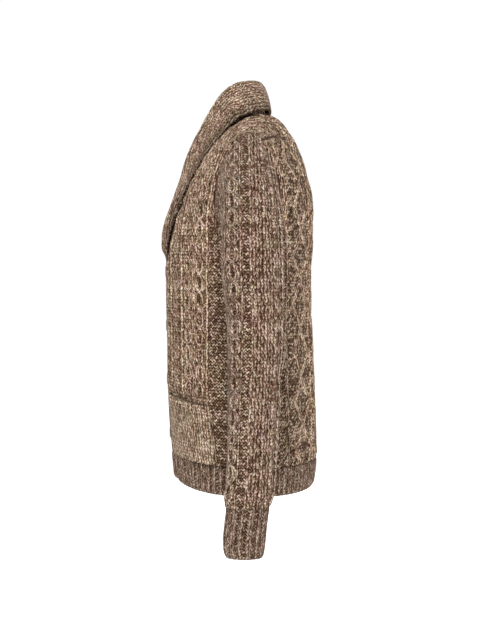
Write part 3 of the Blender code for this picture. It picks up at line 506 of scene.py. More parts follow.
# %% [markdown]
# The fronts and the back. Rows run from the hem rib to the shoulder seam and columns from the front edge or
# the centre back to the side. Where neckline and armhole cut into the cloth, the columns that they pass are
# gathered along the cut, so the pattern is cut off cleanly and every row keeps the same number of points.

# %% Rows and columns of a panel
GRID = 0.0021  # spacing of the fine grid
ARCH_LENGTH = 0.29  # from underarm over the shoulder, for counting rows
CUT_SQUEEZE = 0.00006
CUT_FADE = 0.0035  # the pattern sinks into the seam over this width
SEAM_SINK, SELVEDGE_AT, SELVEDGE_HALF, SELVEDGE_HEIGHT = 0.0013, 0.0020, 0.0042, 0.0017


def fit_columns(shares, low, high, squeeze):
    order = np.arange(len(shares))
    fitted = np.maximum(shares, low + order * squeeze)
    return np.minimum(fitted, high - (len(shares) - 1 - order) * squeeze)


def lap_dip(x, left):
    if not left:
        return 0.0 * x
    return -BAND_LAP * (1 - smooth((x - BAND_HALF - LAP_START) / LAP_SPAN))


def panel_rows(step):
    """Heights of the level rows, shares over the arch, and the height of one row of the pattern."""
    bottom = HEM_Z + HEM_RIB + SEAM_GAP / 2
    levels = np.linspace(bottom, ARM_Z, round((ARM_Z - bottom) / GRID) + 1)
    count = round(ARCH_LENGTH / GRID)
    return levels, np.arange(1, count + 1) / count, (ARM_Z - bottom) / round((ARM_Z - bottom) / step)


def edge_distances(base):
    """Distances over the cloth from the first and last column and from the bottom and top row."""
    across = np.linalg.norm(np.diff(base, axis=1), axis=-1)
    from_first = np.concatenate([np.zeros((len(base), 1)), np.cumsum(across, axis=1)], axis=1)
    up = np.linalg.norm(np.diff(base, axis=0), axis=-1)
    from_bottom = np.concatenate([np.zeros((1, base.shape[1])), np.cumsum(up, axis=0)])
    return from_first, from_first[:, -1:] - from_first, from_bottom, from_bottom[-1:] - from_bottom


def cloth_up(base):
    """Height up the cloth of every point, along its own column."""
    return edge_distances(base)[2]


def edge_fade(base):
    """0 on the edges of the grid and 1 a little way in."""
    return smooth(np.minimum.reduce(edge_distances(base)) / CUT_FADE)


def selvedge(distance):
    """A linked seam: the cloth sinks into the join, and a slim ridge of edge stitches runs beside it."""
    sink = -SEAM_SINK * (1 - smooth(distance / SELVEDGE_AT))
    return sink + SELVEDGE_HEIGHT * rounded((distance - SELVEDGE_AT - SELVEDGE_HALF) / SELVEDGE_HALF)


SEAM_ROOM = SELVEDGE_AT + 2 * SELVEDGE_HALF


def sewn_edges(height, plain, at_armhole, at_seam, over_arm):
    """Height and plainness with edge stitches laid along the armhole and the shoulder seam."""
    in_edge = (at_armhole < SEAM_ROOM) & (over_arm > 0.01)
    height = np.where(in_edge, height * (1 - over_arm) + over_arm * selvedge(at_armhole), height)
    height = np.where(at_seam < SEAM_ROOM, selvedge(at_seam), height)
    return height, np.where((at_seam < SEAM_ROOM) | in_edge, 1.0, plain)


# %% The collar's tables
COLLAR_COLUMNS = ("along", "roll_x", "roll_y", "roll_z", "edge_x", "edge_y", "edge_z")
COLLAR = (
    (0.00, 0.0000, 0.0355, 0.0590, 0.0000, 0.0515, 0.0105),
    (0.08, 0.0290, 0.0310, 0.0588, 0.0395, 0.0505, 0.0100),
    (0.16, 0.0530, 0.0200, 0.0565, 0.0785, 0.0455, 0.0060),
    (0.22, 0.0660, 0.0070, 0.0535, 0.0940, 0.0290, 0.0015),
    (0.29, 0.0715, -0.0070, 0.0490, 0.0980, 0.0100, -0.0045),
    (0.36, 0.0700, -0.0215, 0.0405, 0.1000, -0.0055, -0.0125),
    (0.43, 0.0655, -0.0380, 0.0225, 0.1030, -0.0140, -0.0200),
    (0.48, 0.0600, -0.0530, -0.0010, 0.1060, -0.0240, -0.0320),
    (0.53, 0.0550, -0.0640, -0.0210, 0.1070, -0.0370, -0.0500),
    (0.58, 0.0500, -0.0770, -0.0440, 0.1070, -0.0500, -0.0700),
    (0.63, 0.0440, -0.0900, -0.0740, 0.1050, -0.0630, -0.0950),
    (0.69, 0.0370, -0.0990, -0.1035, 0.1000, -0.0790, -0.1200),
    (0.75, 0.0290, -0.1095, -0.1335, 0.0920, -0.0940, -0.1450),
    (0.81, 0.0220, -0.1195, -0.1637, 0.0800, -0.1070, -0.1720),
    (0.87, 0.0145, -0.1290, -0.1942, 0.0620, -0.1150, -0.1990),
    (0.94, 0.0090, -0.1285, -0.2220, 0.0500, -0.1190, -0.2240),
    (1.00, 0.0050, -0.1265, -0.2450, 0.0400, -0.1200, -0.2450),
)
COLLAR_WALL = 0.0040
COLLAR_RIB = 0.0013
END_THINNING, THIN_FROM = 0.6, 0.90
ROLL_TURNS = 11
ROLL_RADIUS = 0.0050
FALL_BULGE = 0.009
BACK_BULGE, BULGE_FROM, BULGE_OVER = 0.3, 0.10, 0.20  # share of the bulge behind the neck, and where it grows
FALL_GAP = 0.0012
BACK_LIFT, BACK_LIFT_FROM, BACK_LIFT_OVER = 0.0020, 0.15, 0.08  # room for the back's cables under the fall
EDGE_CURL = 1.7  # above 1 the fall is fullest near its edge, which turns in
COLLAR_STATIONS = 210
STAND_POINTS, FALL_POINTS = 24, 44
STAND_RIBS, FALL_RIBS = 7, 9
EDGE_SHADE, EDGE_SHADE_WIDE, STAND_SHADE = 0.50, 0.026, 0.35  # less light under the turned-in edge and inside


# %% Front panels
FRONT_CREASES = (
    (0.010, 0.330, 0.090, 0.400, 0.012, -0.0025),
    (0.120, 0.300, 0.200, 0.370, 0.014, -0.0030),
    (0.060, 0.020, 0.075, 0.120, 0.016, 0.0020),
    (0.150, 0.010, 0.140, 0.160, 0.020, -0.0025),
)
POCKET_COLUMNS = ("front_place", "rear_place", "bottom_z", "top_front_z", "top_rear_z", "height", "trim")
POCKET = dict(zip(POCKET_COLUMNS, (0.0550, 0.2100, -0.5730, -0.4720, -0.4820, 0.1000, 0.0150)))
POCKET_MARGIN, POCKET_BLEND, POCKET_PRESS = 0.012, 0.010, 0.85
COVER_MARGIN, COLLAR_PRESS = 0.008, 0.8


def under_pocket(shares, z):
    place = shares * 2 * FRONT_LENGTH
    from_front = smooth((place - POCKET["front_place"] + POCKET_MARGIN) / POCKET_BLEND)
    from_rear = smooth((POCKET["rear_place"] + POCKET_MARGIN - place) / POCKET_BLEND)
    from_top = smooth((POCKET["top_front_z"] + POCKET_MARGIN - z) / POCKET_BLEND)
    return from_front * from_rear * from_top


def under_collar(base):
    """1 on the front where the fall of the collar lies over it and a little beyond its edge. It presses the
    cables flat, and with COLLAR_SHADE it paints shade there.
    """
    edge_z = column(COLLAR, COLLAR_COLUMNS, "edge_z")[::-1]
    edge_x = column(COLLAR, COLLAR_COLUMNS, "edge_x")[::-1]
    covered = np.interp(base[..., 2], edge_z, edge_x, left=0.0, right=0.0)
    room = covered + COVER_MARGIN - np.abs(base[..., 0])
    return smooth(room / COVER_MARGIN) * (base[..., 1] < RIDGE_Y)


COLLAR_SHADE, SLEEVE_SHADE = 0.55, 0.45  # how much light the close places lose
GROOVE_SHADE, BACK_GROOVE_SHADE = 0.42, 0.22
FRONT_BY_SLEEVE, BACK_BY_SLEEVE = 210.0, 162.0  # place in mm from which the sleeve lies close to the body


def by_sleeve(beyond, base):
    """1 where the sleeve hangs close to the body and keeps the light away."""
    return smooth(beyond / 8) * smooth((ARM_Z - 0.01 - base[..., 2]) / 0.03)


def front_panel(left):
    total = sum(width for width, _ in FRONT_STRIPS)
    places = np.linspace(0.0, total, round(total / 1000 / GRID))
    start = BAND_HALF / FRONT_LENGTH / 2
    span = 0.5 - SEAM_GAP / 2 - start
    shares = start + places / total * span
    levels, over, pitch = panel_rows(PANEL_STEP)
    squeeze = CUT_SQUEEZE / FRONT_LENGTH / 2
    base, fitted_rows, pressed = [], [], []
    for z in levels:
        angle = (z - ARM_Z) / DEGREE_DROP
        low = float(share_of_x(neck_x(angle) + SEAM_GAP)) if angle > NECK[0][0] else start
        fitted = fit_columns(shares, max(low, start), 0.5 - SEAM_GAP / 2, squeeze)
        x, y = section(z, fitted)
        base.append(level(x, y + lap_dip(x, left), z))
        fitted_rows.append(fitted)
        pressed.append(under_pocket(fitted, z))
    for t in over:
        reference = t * FRONT_SWEEP
        low = float(share_of_x(neck_x(reference) + SEAM_GAP))
        high = float(share_of_x(armhole_x(reference)))
        fitted = fit_columns(shares, low, high, squeeze)
        x, _ = section(ARM_Z, fitted)
        points = arch(x, t * (seam_angle(x) - SHOULDER_GAP))
        points[:, 1] += lap_dip(x, left) * (1 - smooth(t * 3))
        base.append(points)
        fitted_rows.append(fitted)
        pressed.append(np.zeros_like(fitted))
    base, fitted = np.array(base), np.array(fitted_rows)
    place = (fitted - start) / span * total
    up = cloth_up(base)
    height, lean, plain, groove = knit_field(FRONT_STRIPS, place, up / pitch)
    out = normals(base)
    square(out[: len(levels), -1], 1)
    square(out[: len(levels), 0], 0)
    base = base + out * (creases(FRONT_CREASES, place / 1000, up) * edge_fade(base))[..., None]
    height = height * edge_fade(base) * (1 - POCKET_PRESS * np.array(pressed))
    height = height * (1 - COLLAR_PRESS * under_collar(base))
    _, at_armhole, _, at_seam = edge_distances(base)
    over_arm = smooth((up - up[len(levels) - 1]) / (2 * pitch))
    height, plain = sewn_edges(height, plain, at_armhole, at_seam, over_arm)
    grooves = GROOVE_SHADE * groove * (height < CABLE_HEIGHT / 2) * (1 - np.array(pressed))
    beside = SLEEVE_SHADE * by_sleeve(place - FRONT_BY_SLEEVE, base)
    shade = np.maximum.reduce([COLLAR_SHADE * under_collar(base), beside, grooves])
    knitting = {"height": height, "plain": plain, "u": place / 1000, "v": up, "lean": lean / 1000,
                "shade": shade}
    return knitted_wall(sided("knit_front", left), base, out, knitting, left=left)


fronts = [front_panel(True), front_panel(False)]
print("front panel:", len(fronts[0].data.polygons), "faces")

# %% Back panel
BACK_CREASES = (
    (0.060, 0.020, 0.075, 0.200, 0.020, 0.0025),
    (0.130, 0.030, 0.115, 0.240, 0.018, -0.0030),
    (0.150, 0.330, 0.100, 0.430, 0.014, -0.0025),
)


def back_panel():
    total = sum(width for width, _ in BACK_STRIPS)
    places = np.linspace(0.0, total, round(total / 1000 / GRID))
    span = 0.5 - SEAM_GAP / 2
    shares = places / total * span
    levels, over, pitch = panel_rows(LATTICE_STEP)
    squeeze = CUT_SQUEEZE / FRONT_LENGTH / 2
    half, fitted_rows = [], []
    for z in levels:
        x, y = section(z, 1 - shares)
        half.append(level(x, y, z))
        fitted_rows.append(shares)
    for t in over:
        high = float(share_of_x(armhole_x(180 - t * BACK_SWEEP)))
        fitted = fit_columns(shares, 0.0, high, squeeze)
        fitted[0] = 0.0
        x, _ = section(ARM_Z, 1 - fitted)
        half.append(arch(x, 180 - t * (180 - seam_angle(x) - SHOULDER_GAP)))
        fitted_rows.append(fitted)
    half, fitted = np.array(half), np.array(fitted_rows)
    place = fitted / span * total
    up = cloth_up(half)
    height, lean, plain, groove = knit_field(BACK_STRIPS, place, up / pitch)
    shift = creases(BACK_CREASES, place / 1000, up)

    def whole(values, sign=1.0):
        return np.concatenate([values[:, ::-1], sign * values[:, 1:]], axis=1)

    base = np.concatenate([half[:, ::-1], mirrored(half)[:, ::-1][:, 1:]], axis=1)
    out = normals(base)
    for side in (0, -1):
        square(out[: len(levels), side], 1)
    fade = edge_fade(base)
    base = base + out * (whole(shift) * fade)[..., None]
    height, plain = whole(height) * fade, whole(plain)
    first, last, _, at_seam = edge_distances(base)
    at_armhole = np.minimum(first, last)
    over_arm = whole(smooth((up - up[len(levels) - 1]) / (2 * pitch)))
    height, plain = sewn_edges(height, plain, at_armhole, at_seam, over_arm)
    shade = SLEEVE_SHADE * by_sleeve(whole(place) - BACK_BY_SLEEVE, base)
    shade = np.maximum(shade, BACK_GROOVE_SHADE * whole(groove) * fade)
    knitting = {"height": height, "plain": plain, "u": whole(place, -1.0) / 1000, "v": whole(up),
                "lean": whole(lean, -1.0) / 1000, "shade": shade}
    return knitted_wall("knit_back", base, out, knitting)


back = back_panel()
print("back panel:", len(back.data.polygons), "faces")

# %% [markdown]
# Ribs are knitted as columns that stand out and sink back in turn, so a cosine along the row is all their
# form. Hem, cuffs, bands and the pocket trim share it. They are drawn in a little at both edges, where the
# rib grips and where it joins the panel above.

# %% Hem ribs
def rib_wave(turns):
    return RIB_HEIGHT * (0.5 - 0.5 * np.cos(2 * math.pi * turns)) ** 0.8


RIB_GRID, RIB_FADE = 0.0015, 0.006
PLAIN_FROM, BAND_PLAIN_FROM = 0.35, 0.2  # share of a rib's height above which its stitches are plain


def rib_fade(levels):
    """Ribs are lower along both edges of the strip."""
    return EDGE_RIB + (1 - EDGE_RIB) * smooth(np.minimum(levels - levels[0], levels[-1] - levels) / RIB_FADE)


def rib_count(first, last):
    x, y = section(HEM_Z, np.linspace(first, last, 60))
    length = float(np.hypot(np.diff(x), np.diff(y)).sum())
    return round(length / RIB_PITCH), length


def hem_grid(first, last, left=False):
    ribs, length = rib_count(first, last)
    shares = np.linspace(first, last, round(length / RIB_GRID))
    heights = np.linspace(0.0, HEM_RIB, round(HEM_RIB / GRID) + 1)
    rows = []
    for lift in heights:
        pull = float(np.interp(lift, HEM_LEVELS, HEM_PULL))
        x, y = section(HEM_Z + lift, shares)
        rows.append(level(x, y + lap_dip(x, left), HEM_Z + lift) * np.array([1 + pull, 1 + pull, 1.0]))
    turns = (shares - first) / (last - first) * ribs
    height = rib_wave(turns)[None, :] * rib_fade(heights)[:, None]
    plain = (height > PLAIN_FROM * RIB_HEIGHT).astype(float)
    u = (shares - first) / (last - first) * length + np.zeros_like(height)
    return np.array(rows), height, plain, u, heights[:, None] + np.zeros_like(height)


def front_hem(left):
    start = BAND_HALF / FRONT_LENGTH / 2
    base, height, plain, u, v = hem_grid(start + SEAM_GAP, 0.5 - SEAM_GAP / 2, left)
    out = normals(base)
    square(out[:, -1], 1)
    square(out[:, 0], 0)
    knitting = {"height": height, "plain": plain, "u": u, "v": v}
    return knitted_wall(sided("rib_hem", left), base, out, knitting, left=left)


def back_hem():
    half, height, plain, u, v = hem_grid(0.5 + SEAM_GAP / 2, 1.0)
    base = np.concatenate([half, mirrored(half)[:, 1:]], axis=1)
    out = normals(base)
    for side in (0, -1):
        square(out[:, side], 1)

    def whole(values):
        return np.concatenate([values, values[:, ::-1][:, 1:]], axis=1)

    u = np.concatenate([u, 2 * u[:, -1:] - u[:, ::-1][:, 1:]], axis=1)
    knitting = {"height": whole(height), "plain": whole(plain), "u": u, "v": whole(v)}
    return knitted_wall("rib_hem_back", base, out, knitting)


hems = [front_hem(True), front_hem(False), back_hem()]
print("hem ribs:", [len(piece.data.polygons) for piece in hems])


# %% Front bands
def front_band(left):
    top = ARM_Z + NECK[0][0] * DEGREE_DROP - BAND_TOP_GAP
    levels = np.linspace(HEM_Z, top, round((top - HEM_Z) / GRID))
    across = np.linspace(-BAND_HALF, BAND_HALF, 41)
    base = []
    for z in levels:
        y = -torso(z, "front") * depth_share(across, z) + (BAND_LAP if left else 0.0)
        base.append(level(across, y, z))
    base = np.array(base)
    turns = np.linspace(0.0, 4.0, len(across))
    height = np.tile(rib_wave(turns) * BAND_RIB, (len(levels), 1))
    height[[0, -1]] *= EDGE_RIB
    plain = (height > BAND_PLAIN_FROM * RIB_HEIGHT).astype(float)
    out = normals(base)
    for side in (0, -1):
        square(out[:, side], 0)
    knitting = {"height": height, "plain": plain, "u": across[None, :], "v": cloth_up(base)}
    return knitted_wall(sided("rib_band", left), base, out, knitting, wall=WALL - 0.0006)


bands = [front_band(True), front_band(False)]

# %% [markdown]
# A patch pocket is plain knitting laid on the front and sewn down on three sides, with a ribbed trim along
# its mouth. It takes its points from the panel's form, moved out, and bellies a little in the middle as a
# used pocket does.

# %% Patch pockets
POCKET_WALL = 0.0024
POCKET_CLEAR, POCKET_LIFT, POCKET_BELLY = 0.0006, 0.0010, 0.0012
TRIM_RAISE = 0.0006
REAR_SLANT = 0.010  # how much wider the pocket is at its foot than at its mouth


def pocket(left):
    wide = POCKET["rear_place"] - POCKET["front_place"]
    ribs = round(wide / RIB_PITCH)
    places = np.linspace(POCKET["front_place"], POCKET["rear_place"], round(wide / RIB_GRID))
    shares = places / FRONT_LENGTH / 2
    along = (places - places[0]) / wide
    top = POCKET["top_front_z"] + along * (POCKET["top_rear_z"] - POCKET["top_front_z"])
    up = np.linspace(0.0, 1.0, 64)
    fine_z = np.linspace(POCKET["bottom_z"] - 0.005, POCKET["top_front_z"] + 0.005, 60)
    sheets = np.array([level(*plus_dip(section(z, slanted(shares, along, z)), left), z) for z in fine_z])
    base = np.empty((len(up), len(places), 3))
    for r, t in enumerate(up):
        z = POCKET["bottom_z"] + t * (top - POCKET["bottom_z"])
        for c in range(len(places)):
            for k in range(3):
                base[r, c, k] = np.interp(z[c], fine_z, sheets[:, c, k])
    trim = 1 - POCKET["trim"] / POCKET["height"]
    on_trim = smooth((up - trim) / 0.02)[:, None]
    height = on_trim * (rib_wave(along * ribs)[None, :] + TRIM_RAISE)
    sides = np.minimum(along, 1 - along)[None, :]
    under = POCKET_CLEAR + POCKET_LIFT * smooth(sides * 12) * smooth(up * 6)[:, None]
    under = under + POCKET_BELLY * np.sin(math.pi * along)[None, :] * np.sin(math.pi * up * 0.9)[:, None]
    out = normals(base)
    plain = 1 - on_trim + on_trim * (rib_wave(along * ribs)[None, :] > PLAIN_FROM * RIB_HEIGHT)
    base = base + out * (POCKET_WALL + under)[..., None]
    # The raised attribute also sets the painted highlight and shade in the material: the plain pocket gets 0.5,
    # so it is neither darkened nor lightened, and only the trim's ribs vary.
    raised = 0.5 + 0.4 * (height / height.max() - 0.5) * on_trim
    knitting = {"height": height, "raised": raised, "plain": plain, "u": places[None, :], "v": cloth_up(base)}
    return knitted_wall(sided("knit_pocket", left), base, out, knitting, wall=POCKET_WALL, left=left)


def slanted(shares, along, z):
    """The columns fan out towards the rear as they go down."""
    middle = (POCKET["bottom_z"] + POCKET["top_rear_z"]) / 2
    return shares + along * (middle - z) / POCKET["height"] * REAR_SLANT / FRONT_LENGTH / 2


def plus_dip(flat, left):
    return flat[0], flat[1] + lap_dip(flat[0], left)


pockets = [pocket(True), pocket(False)]

# %% [markdown]
# A sleeve is a tube of rings, level up to the underarm and then drawn over to the armhole as a cap. The cap
# is a smooth bridge between the last ring and the edge of the armhole, leaving both in their own direction,
# so the sleeve hangs from the shoulder without a kink. The cuff carries the same rings further down.

# %% Sleeves
SLEEVE_COLUMNS = ("z", "front", "back", "inner", "across")
SLEEVE = (
    (-0.716, -0.0205, 0.0340, 0.2140, 0.056),
    (-0.707, -0.0235, 0.0360, 0.2135, 0.059),
    (-0.660, -0.0230, 0.0415, 0.2120, 0.064),
    (-0.642, -0.0210, 0.0440, 0.2115, 0.065),
    (-0.630, -0.0230, 0.0478, 0.2105, 0.070),
    (-0.608, -0.0220, 0.0520, 0.2100, 0.072),
    (-0.546, -0.0190, 0.0560, 0.2095, 0.077),
    (-0.469, -0.0175, 0.0610, 0.2085, 0.082),
    (-0.392, -0.0180, 0.0670, 0.2070, 0.087),
    (-0.315, -0.0215, 0.0710, 0.2065, 0.092),
    (-0.262, -0.0300, 0.0745, 0.2065, 0.095),
)
CUFF_BOTTOM, CUFF_TOP = -0.714, -0.637
CUFF_ACROSS, POINTS_PER_RIB = 0.060, 8
SLEEVE_TOP_Z = -0.262
SLEEVE_ROUNDNESS, INNER_ROUNDNESS = 2.1, 2.9
CAP_RISE, CAP_REACH, CAP_SLOPE = 0.85, 0.85, 0.60
RING_POINTS, CAP_RINGS = 156, 72
SLEEVE_AROUND = 0.2576  # length that the 360 degrees of the strips stand for
CUFF_AROUND = SLEEVE_AROUND * 0.8
CAP_SINK_OVER = 0.005
INWARD_OVER = 0.03  # height over which the shade on the sleeve's inner side grows, below the underarm
SLEEVE_CREASES = (
    (0.100, 0.012, 0.190, 0.004, 0.007, -0.0035),
    (0.060, 0.020, 0.170, 0.026, 0.009, 0.0022),
    (0.030, 0.165, 0.110, 0.190, 0.013, -0.0022),
    (0.165, 0.215, 0.235, 0.180, 0.014, -0.0028),
    (0.120, 0.300, 0.150, 0.420, 0.018, 0.0018),
    (0.200, 0.330, 0.225, 0.450, 0.014, -0.0025),
    (0.035, 0.350, 0.060, 0.450, 0.012, -0.0030),
)


def sleeve_ring(z, degrees):
    front, behind, inner, across = (float(table_curve(SLEEVE, SLEEVE_COLUMNS, z, name))
                                    for name in SLEEVE_COLUMNS[1:])
    turn = np.radians(degrees)
    cos, sin = np.cos(turn), np.sin(turn)
    power = np.where(cos > 0, 2 / INNER_ROUNDNESS, 2 / SLEEVE_ROUNDNESS)
    x = inner + across / 2 - np.sign(cos) * np.abs(cos) ** power * across / 2
    y = (front + behind) / 2 - np.sign(sin) * np.abs(sin) ** power * (behind - front) / 2
    return np.stack([x, y, np.full_like(x, z)], axis=-1)


def armhole_loop(degrees):
    angle = np.where(degrees <= 180, degrees / 2, 90 + (degrees - 180) / 2)
    return arch(armhole_x(angle), angle) + np.array([SEAM_GAP / 2, 0.0, 0.0])


def sleeve(left):
    degrees = np.arange(RING_POINTS) * 360 / RING_POINTS
    bottom = CUFF_TOP + SEAM_GAP
    levels = np.linspace(bottom, SLEEVE_TOP_Z, round((SLEEVE_TOP_Z - bottom) / GRID) + 1)
    rings = [sleeve_ring(z, degrees) for z in levels]
    start, end = rings[-1], armhole_loop(degrees)
    span = np.linalg.norm(end - start, axis=1, keepdims=True)
    rise = np.array([0.0, 0.0, 1.0]) * span * CAP_RISE
    over = np.array([-1.0, 0.0, CAP_SLOPE]) / math.hypot(1.0, CAP_SLOPE) * span * CAP_REACH
    cap = np.linspace(0.0, 1.0, CAP_RINGS + 1)[1:]
    base = np.array(rings + [bridge(t, start, rise, end, over) for t in cap])
    from_first, _, up, _ = edge_distances(base)
    outer = RING_POINTS // 2
    around = from_first - from_first[:, outer, None] + SLEEVE_AROUND / 2
    course = np.interp(base[..., 2], base[:, outer, 2], up[:, outer])  # the rows of stitches lie level
    pitch = (SLEEVE_TOP_Z - bottom) / round((SLEEVE_TOP_Z - bottom) / PANEL_STEP)
    height, lean, plain, groove = knit_field(SLEEVE_STRIPS, around / SLEEVE_AROUND * 360, course / pitch)
    out = normals(base, closed=True)
    ends = smooth(np.minimum(up, up[-1:] - up) / CUT_FADE)
    base = base + out * (creases(SLEEVE_CREASES, around, up) * ends)[..., None]
    height = height * ends - SEAM_SINK * (1 - smooth((up[-1:] - up) / CAP_SINK_OVER))
    below = smooth((SLEEVE_TOP_Z + INWARD_OVER - base[..., 2]) / INWARD_OVER)
    inward = smooth((np.cos(np.radians(degrees)) - 0.05) / 0.5) * below
    shade = np.maximum(SLEEVE_SHADE * inward, GROOVE_SHADE * groove * ends)
    knitting = {"height": height, "plain": plain, "u": around, "v": course,
                "lean": lean / 360 * SLEEVE_AROUND, "shade": shade}
    return knitted_wall(sided("knit_sleeve", left), base, out, knitting, closed=True, left=left)


def cuff(left):
    ribs = round(math.pi * CUFF_ACROSS / RIB_PITCH)
    count = ribs * POINTS_PER_RIB
    degrees = np.arange(count) * 360 / count
    levels = np.linspace(CUFF_BOTTOM, CUFF_TOP, round((CUFF_TOP - CUFF_BOTTOM) / GRID) + 1)
    base = np.array([sleeve_ring(z, degrees) for z in levels])
    height = rib_wave(degrees / 360 * ribs)[None, :] * rib_fade(levels)[:, None]
    plain = (height > PLAIN_FROM * RIB_HEIGHT).astype(float)
    out = normals(base, closed=True)
    u = degrees / 360 * CUFF_AROUND
    knitting = {"height": height, "plain": plain, "u": u[None, :], "v": cloth_up(base)}
    return knitted_wall(sided("rib_cuff", left), base, out, knitting, closed=True, left=left)


sleeves = [sleeve(True), sleeve(False)]
cuffs = [cuff(True), cuff(False)]
print("sleeve:", len(sleeves[0].data.polygons), "faces; cuff:", len(cuffs[0].data.polygons))

# %% [markdown]
# A shawl collar is one long ribbed strip, sewn to the neckline along one edge, standing up and folding over
# on itself. Its section is therefore a stand, a tight roll and a fall, and only the roll line and the outer
# edge change along it. Both are curves through a short table, and every point of the fall is kept a cloth's
# thickness off the body beneath it.

# %% The collar's section and sweep
def neck_line():
    behind = [arch(x, float(seam_angle(x))) for x in np.linspace(0.0, 0.079, 20)]
    ahead = []
    for angle in np.linspace(float(seam_angle(0.080)), NECK[0][0], 60):
        x = float(neck_x(angle))
        if angle >= 0:
            ahead.append(arch(x, angle))
        else:
            z = ARM_Z + angle * DEGREE_DROP
            ahead.append(np.array([x, -float(torso(z, "front")) * float(depth_share(x, z)), z]))
    line = np.array(behind + ahead)
    return line, np.concatenate([[0.0], np.cumsum(np.linalg.norm(np.diff(line, axis=0), axis=1))])


NECK_LINE, NECK_AT = neck_line()


def neck_seam(along):
    return np.array([np.interp(along * NECK_AT[-1], NECK_AT, NECK_LINE[:, k]) for k in range(3)])


def stand_off(points, gap):
    """The points, moved out of the body's form where they are nearer to it than the gap."""
    x, y, z = points.T
    low = z <= ARM_Z
    front = -torso(z, "front") * depth_share(x, z) - gap
    behind = y > RIDGE_Y
    fullness = np.where(behind, shoulder(x, "back_fullness"), shoulder(x, "front_fullness"))
    share = depth_share(x, ARM_Z)
    reach_behind = torso(ARM_Z, "back") * share - RIDGE_Y
    reach_ahead = torso(ARM_Z, "front") * share + RIDGE_Y
    reach_y = np.where(behind, reach_behind, reach_ahead)
    reach_z = shoulder(x, "ridge_z") - ARM_Z
    ray_y, ray_z = y - RIDGE_Y, np.maximum(z - ARM_Z, 1e-6)
    long = np.hypot(ray_y, ray_z)
    size = (np.abs(ray_y) / reach_y) ** fullness + (ray_z / reach_z) ** fullness
    surface = long * size ** (-1 / fullness)
    grown = np.maximum(long, surface + gap) / long
    new_y = np.where(low, np.minimum(y, front), RIDGE_Y + ray_y * grown)
    new_z = np.where(low, z, ARM_Z + ray_z * grown)
    return np.stack([x, new_y, new_z], axis=-1)


def collar_half(along):
    """Half the thickness of the collar's cloth, which thins out where its ends run into the bands."""
    thinned = smooth((np.asarray(along, float) - THIN_FROM) / (1 - THIN_FROM))
    return COLLAR_WALL / 2 * (1 - END_THINNING * thinned)


def collar_section(along):
    roll = np.array([float(table_curve(COLLAR, COLLAR_COLUMNS, along, f"roll_{k}")) for k in "xyz"])
    edge = np.array([float(table_curve(COLLAR, COLLAR_COLUMNS, along, f"edge_{k}")) for k in "xyz"])
    seam = neck_seam(along)
    down = (seam - roll) / np.linalg.norm(seam - roll) + (edge - roll) / np.linalg.norm(edge - roll)
    down = down / np.linalg.norm(down)
    apart = edge - seam
    apart = apart - down * apart.dot(down)
    apart = apart / np.linalg.norm(apart)
    over_back = 1 - float(smooth((along - BACK_LIFT_FROM) / BACK_LIFT_OVER))
    clear = collar_half(along) + FALL_GAP + BACK_LIFT * over_back
    edge = stand_off(edge[None], clear)[0]
    stand_top = roll + (down - apart) * ROLL_RADIUS
    fall_top = roll + (down + apart) * ROLL_RADIUS
    stand = [seam + (stand_top - seam) * t for t in np.linspace(0.0, 1.0, STAND_POINTS)]
    over = []
    for turn in np.linspace(0.0, math.pi, ROLL_TURNS)[1:-1]:
        over.append(roll + down * ROLL_RADIUS * (1 - math.sin(turn)) - apart * ROLL_RADIUS * math.cos(turn))
    grown = float(smooth((along - BULGE_FROM) / BULGE_OVER))
    bulge = FALL_BULGE * (BACK_BULGE + (1 - BACK_BULGE) * grown) * np.linalg.norm(edge - fall_top) / 0.06
    shares = np.linspace(0.0, 1.0, FALL_POINTS)[:, None]
    curl = 1 + (EDGE_CURL - 1) * grown
    fall = fall_top + (edge - fall_top) * shares + apart * bulge * np.sin(math.pi * shares**curl)
    return np.concatenate([stand, over, stand_off(fall, clear)])


def shawl_collar():
    stations = np.linspace(0.0, 1.0, COLLAR_STATIONS)
    half = np.array([collar_section(a) for a in stations])
    half[0, :, 0] = 0.0
    base = np.concatenate([(half * np.array([-1.0, 1.0, 1.0]))[::-1], half[1:]])
    count = base.shape[1]
    over = count - STAND_POINTS - FALL_POINTS
    turns = np.concatenate([
        np.linspace(0, STAND_RIBS, STAND_POINTS),
        STAND_RIBS + np.arange(1, over + 1) / (over + 1),
        STAND_RIBS + 1 + np.linspace(0, FALL_RIBS, FALL_POINTS),
    ])
    wave = rib_wave(turns) / RIB_HEIGHT
    along = np.abs(np.linspace(-1.0, 1.0, len(base)))[:, None]
    height = COLLAR_RIB * wave * (collar_half(along) / collar_half(0.0))
    across, _, up, _ = edge_distances(base)
    up = up - up[len(half) - 1]
    to_edge = across[:, -1:] - across
    shade = EDGE_SHADE * (1 - smooth(to_edge / EDGE_SHADE_WIDE)) + STAND_SHADE * smooth(STAND_RIBS - turns)
    out = -normals(base)
    flipped = base[:, ::-1] + (out * collar_half(along)[..., None])[:, ::-1]
    knitting = {"height": height[:, ::-1], "plain": (wave > 0.3).astype(float)[None, ::-1],
                "u": across[:, ::-1], "v": up[:, ::-1], "shade": shade[:, ::-1]}
    return knitted_wall("rib_collar", flipped, out[:, ::-1], knitting, wall=2 * collar_half(along)[..., None])


collar = shawl_collar()
print("collar:", len(collar.data.polygons), "faces")

# %% [markdown]
# Horn-coloured buttons, four down the over band, each turned on a lathe with a rounded rim and a shallow
# dish, and sewn on with two bars of thread. One profile is spun, one pair of bars is drawn as tubes along an
# arc, and Geometry Nodes place a copy of each at every mark along the band.

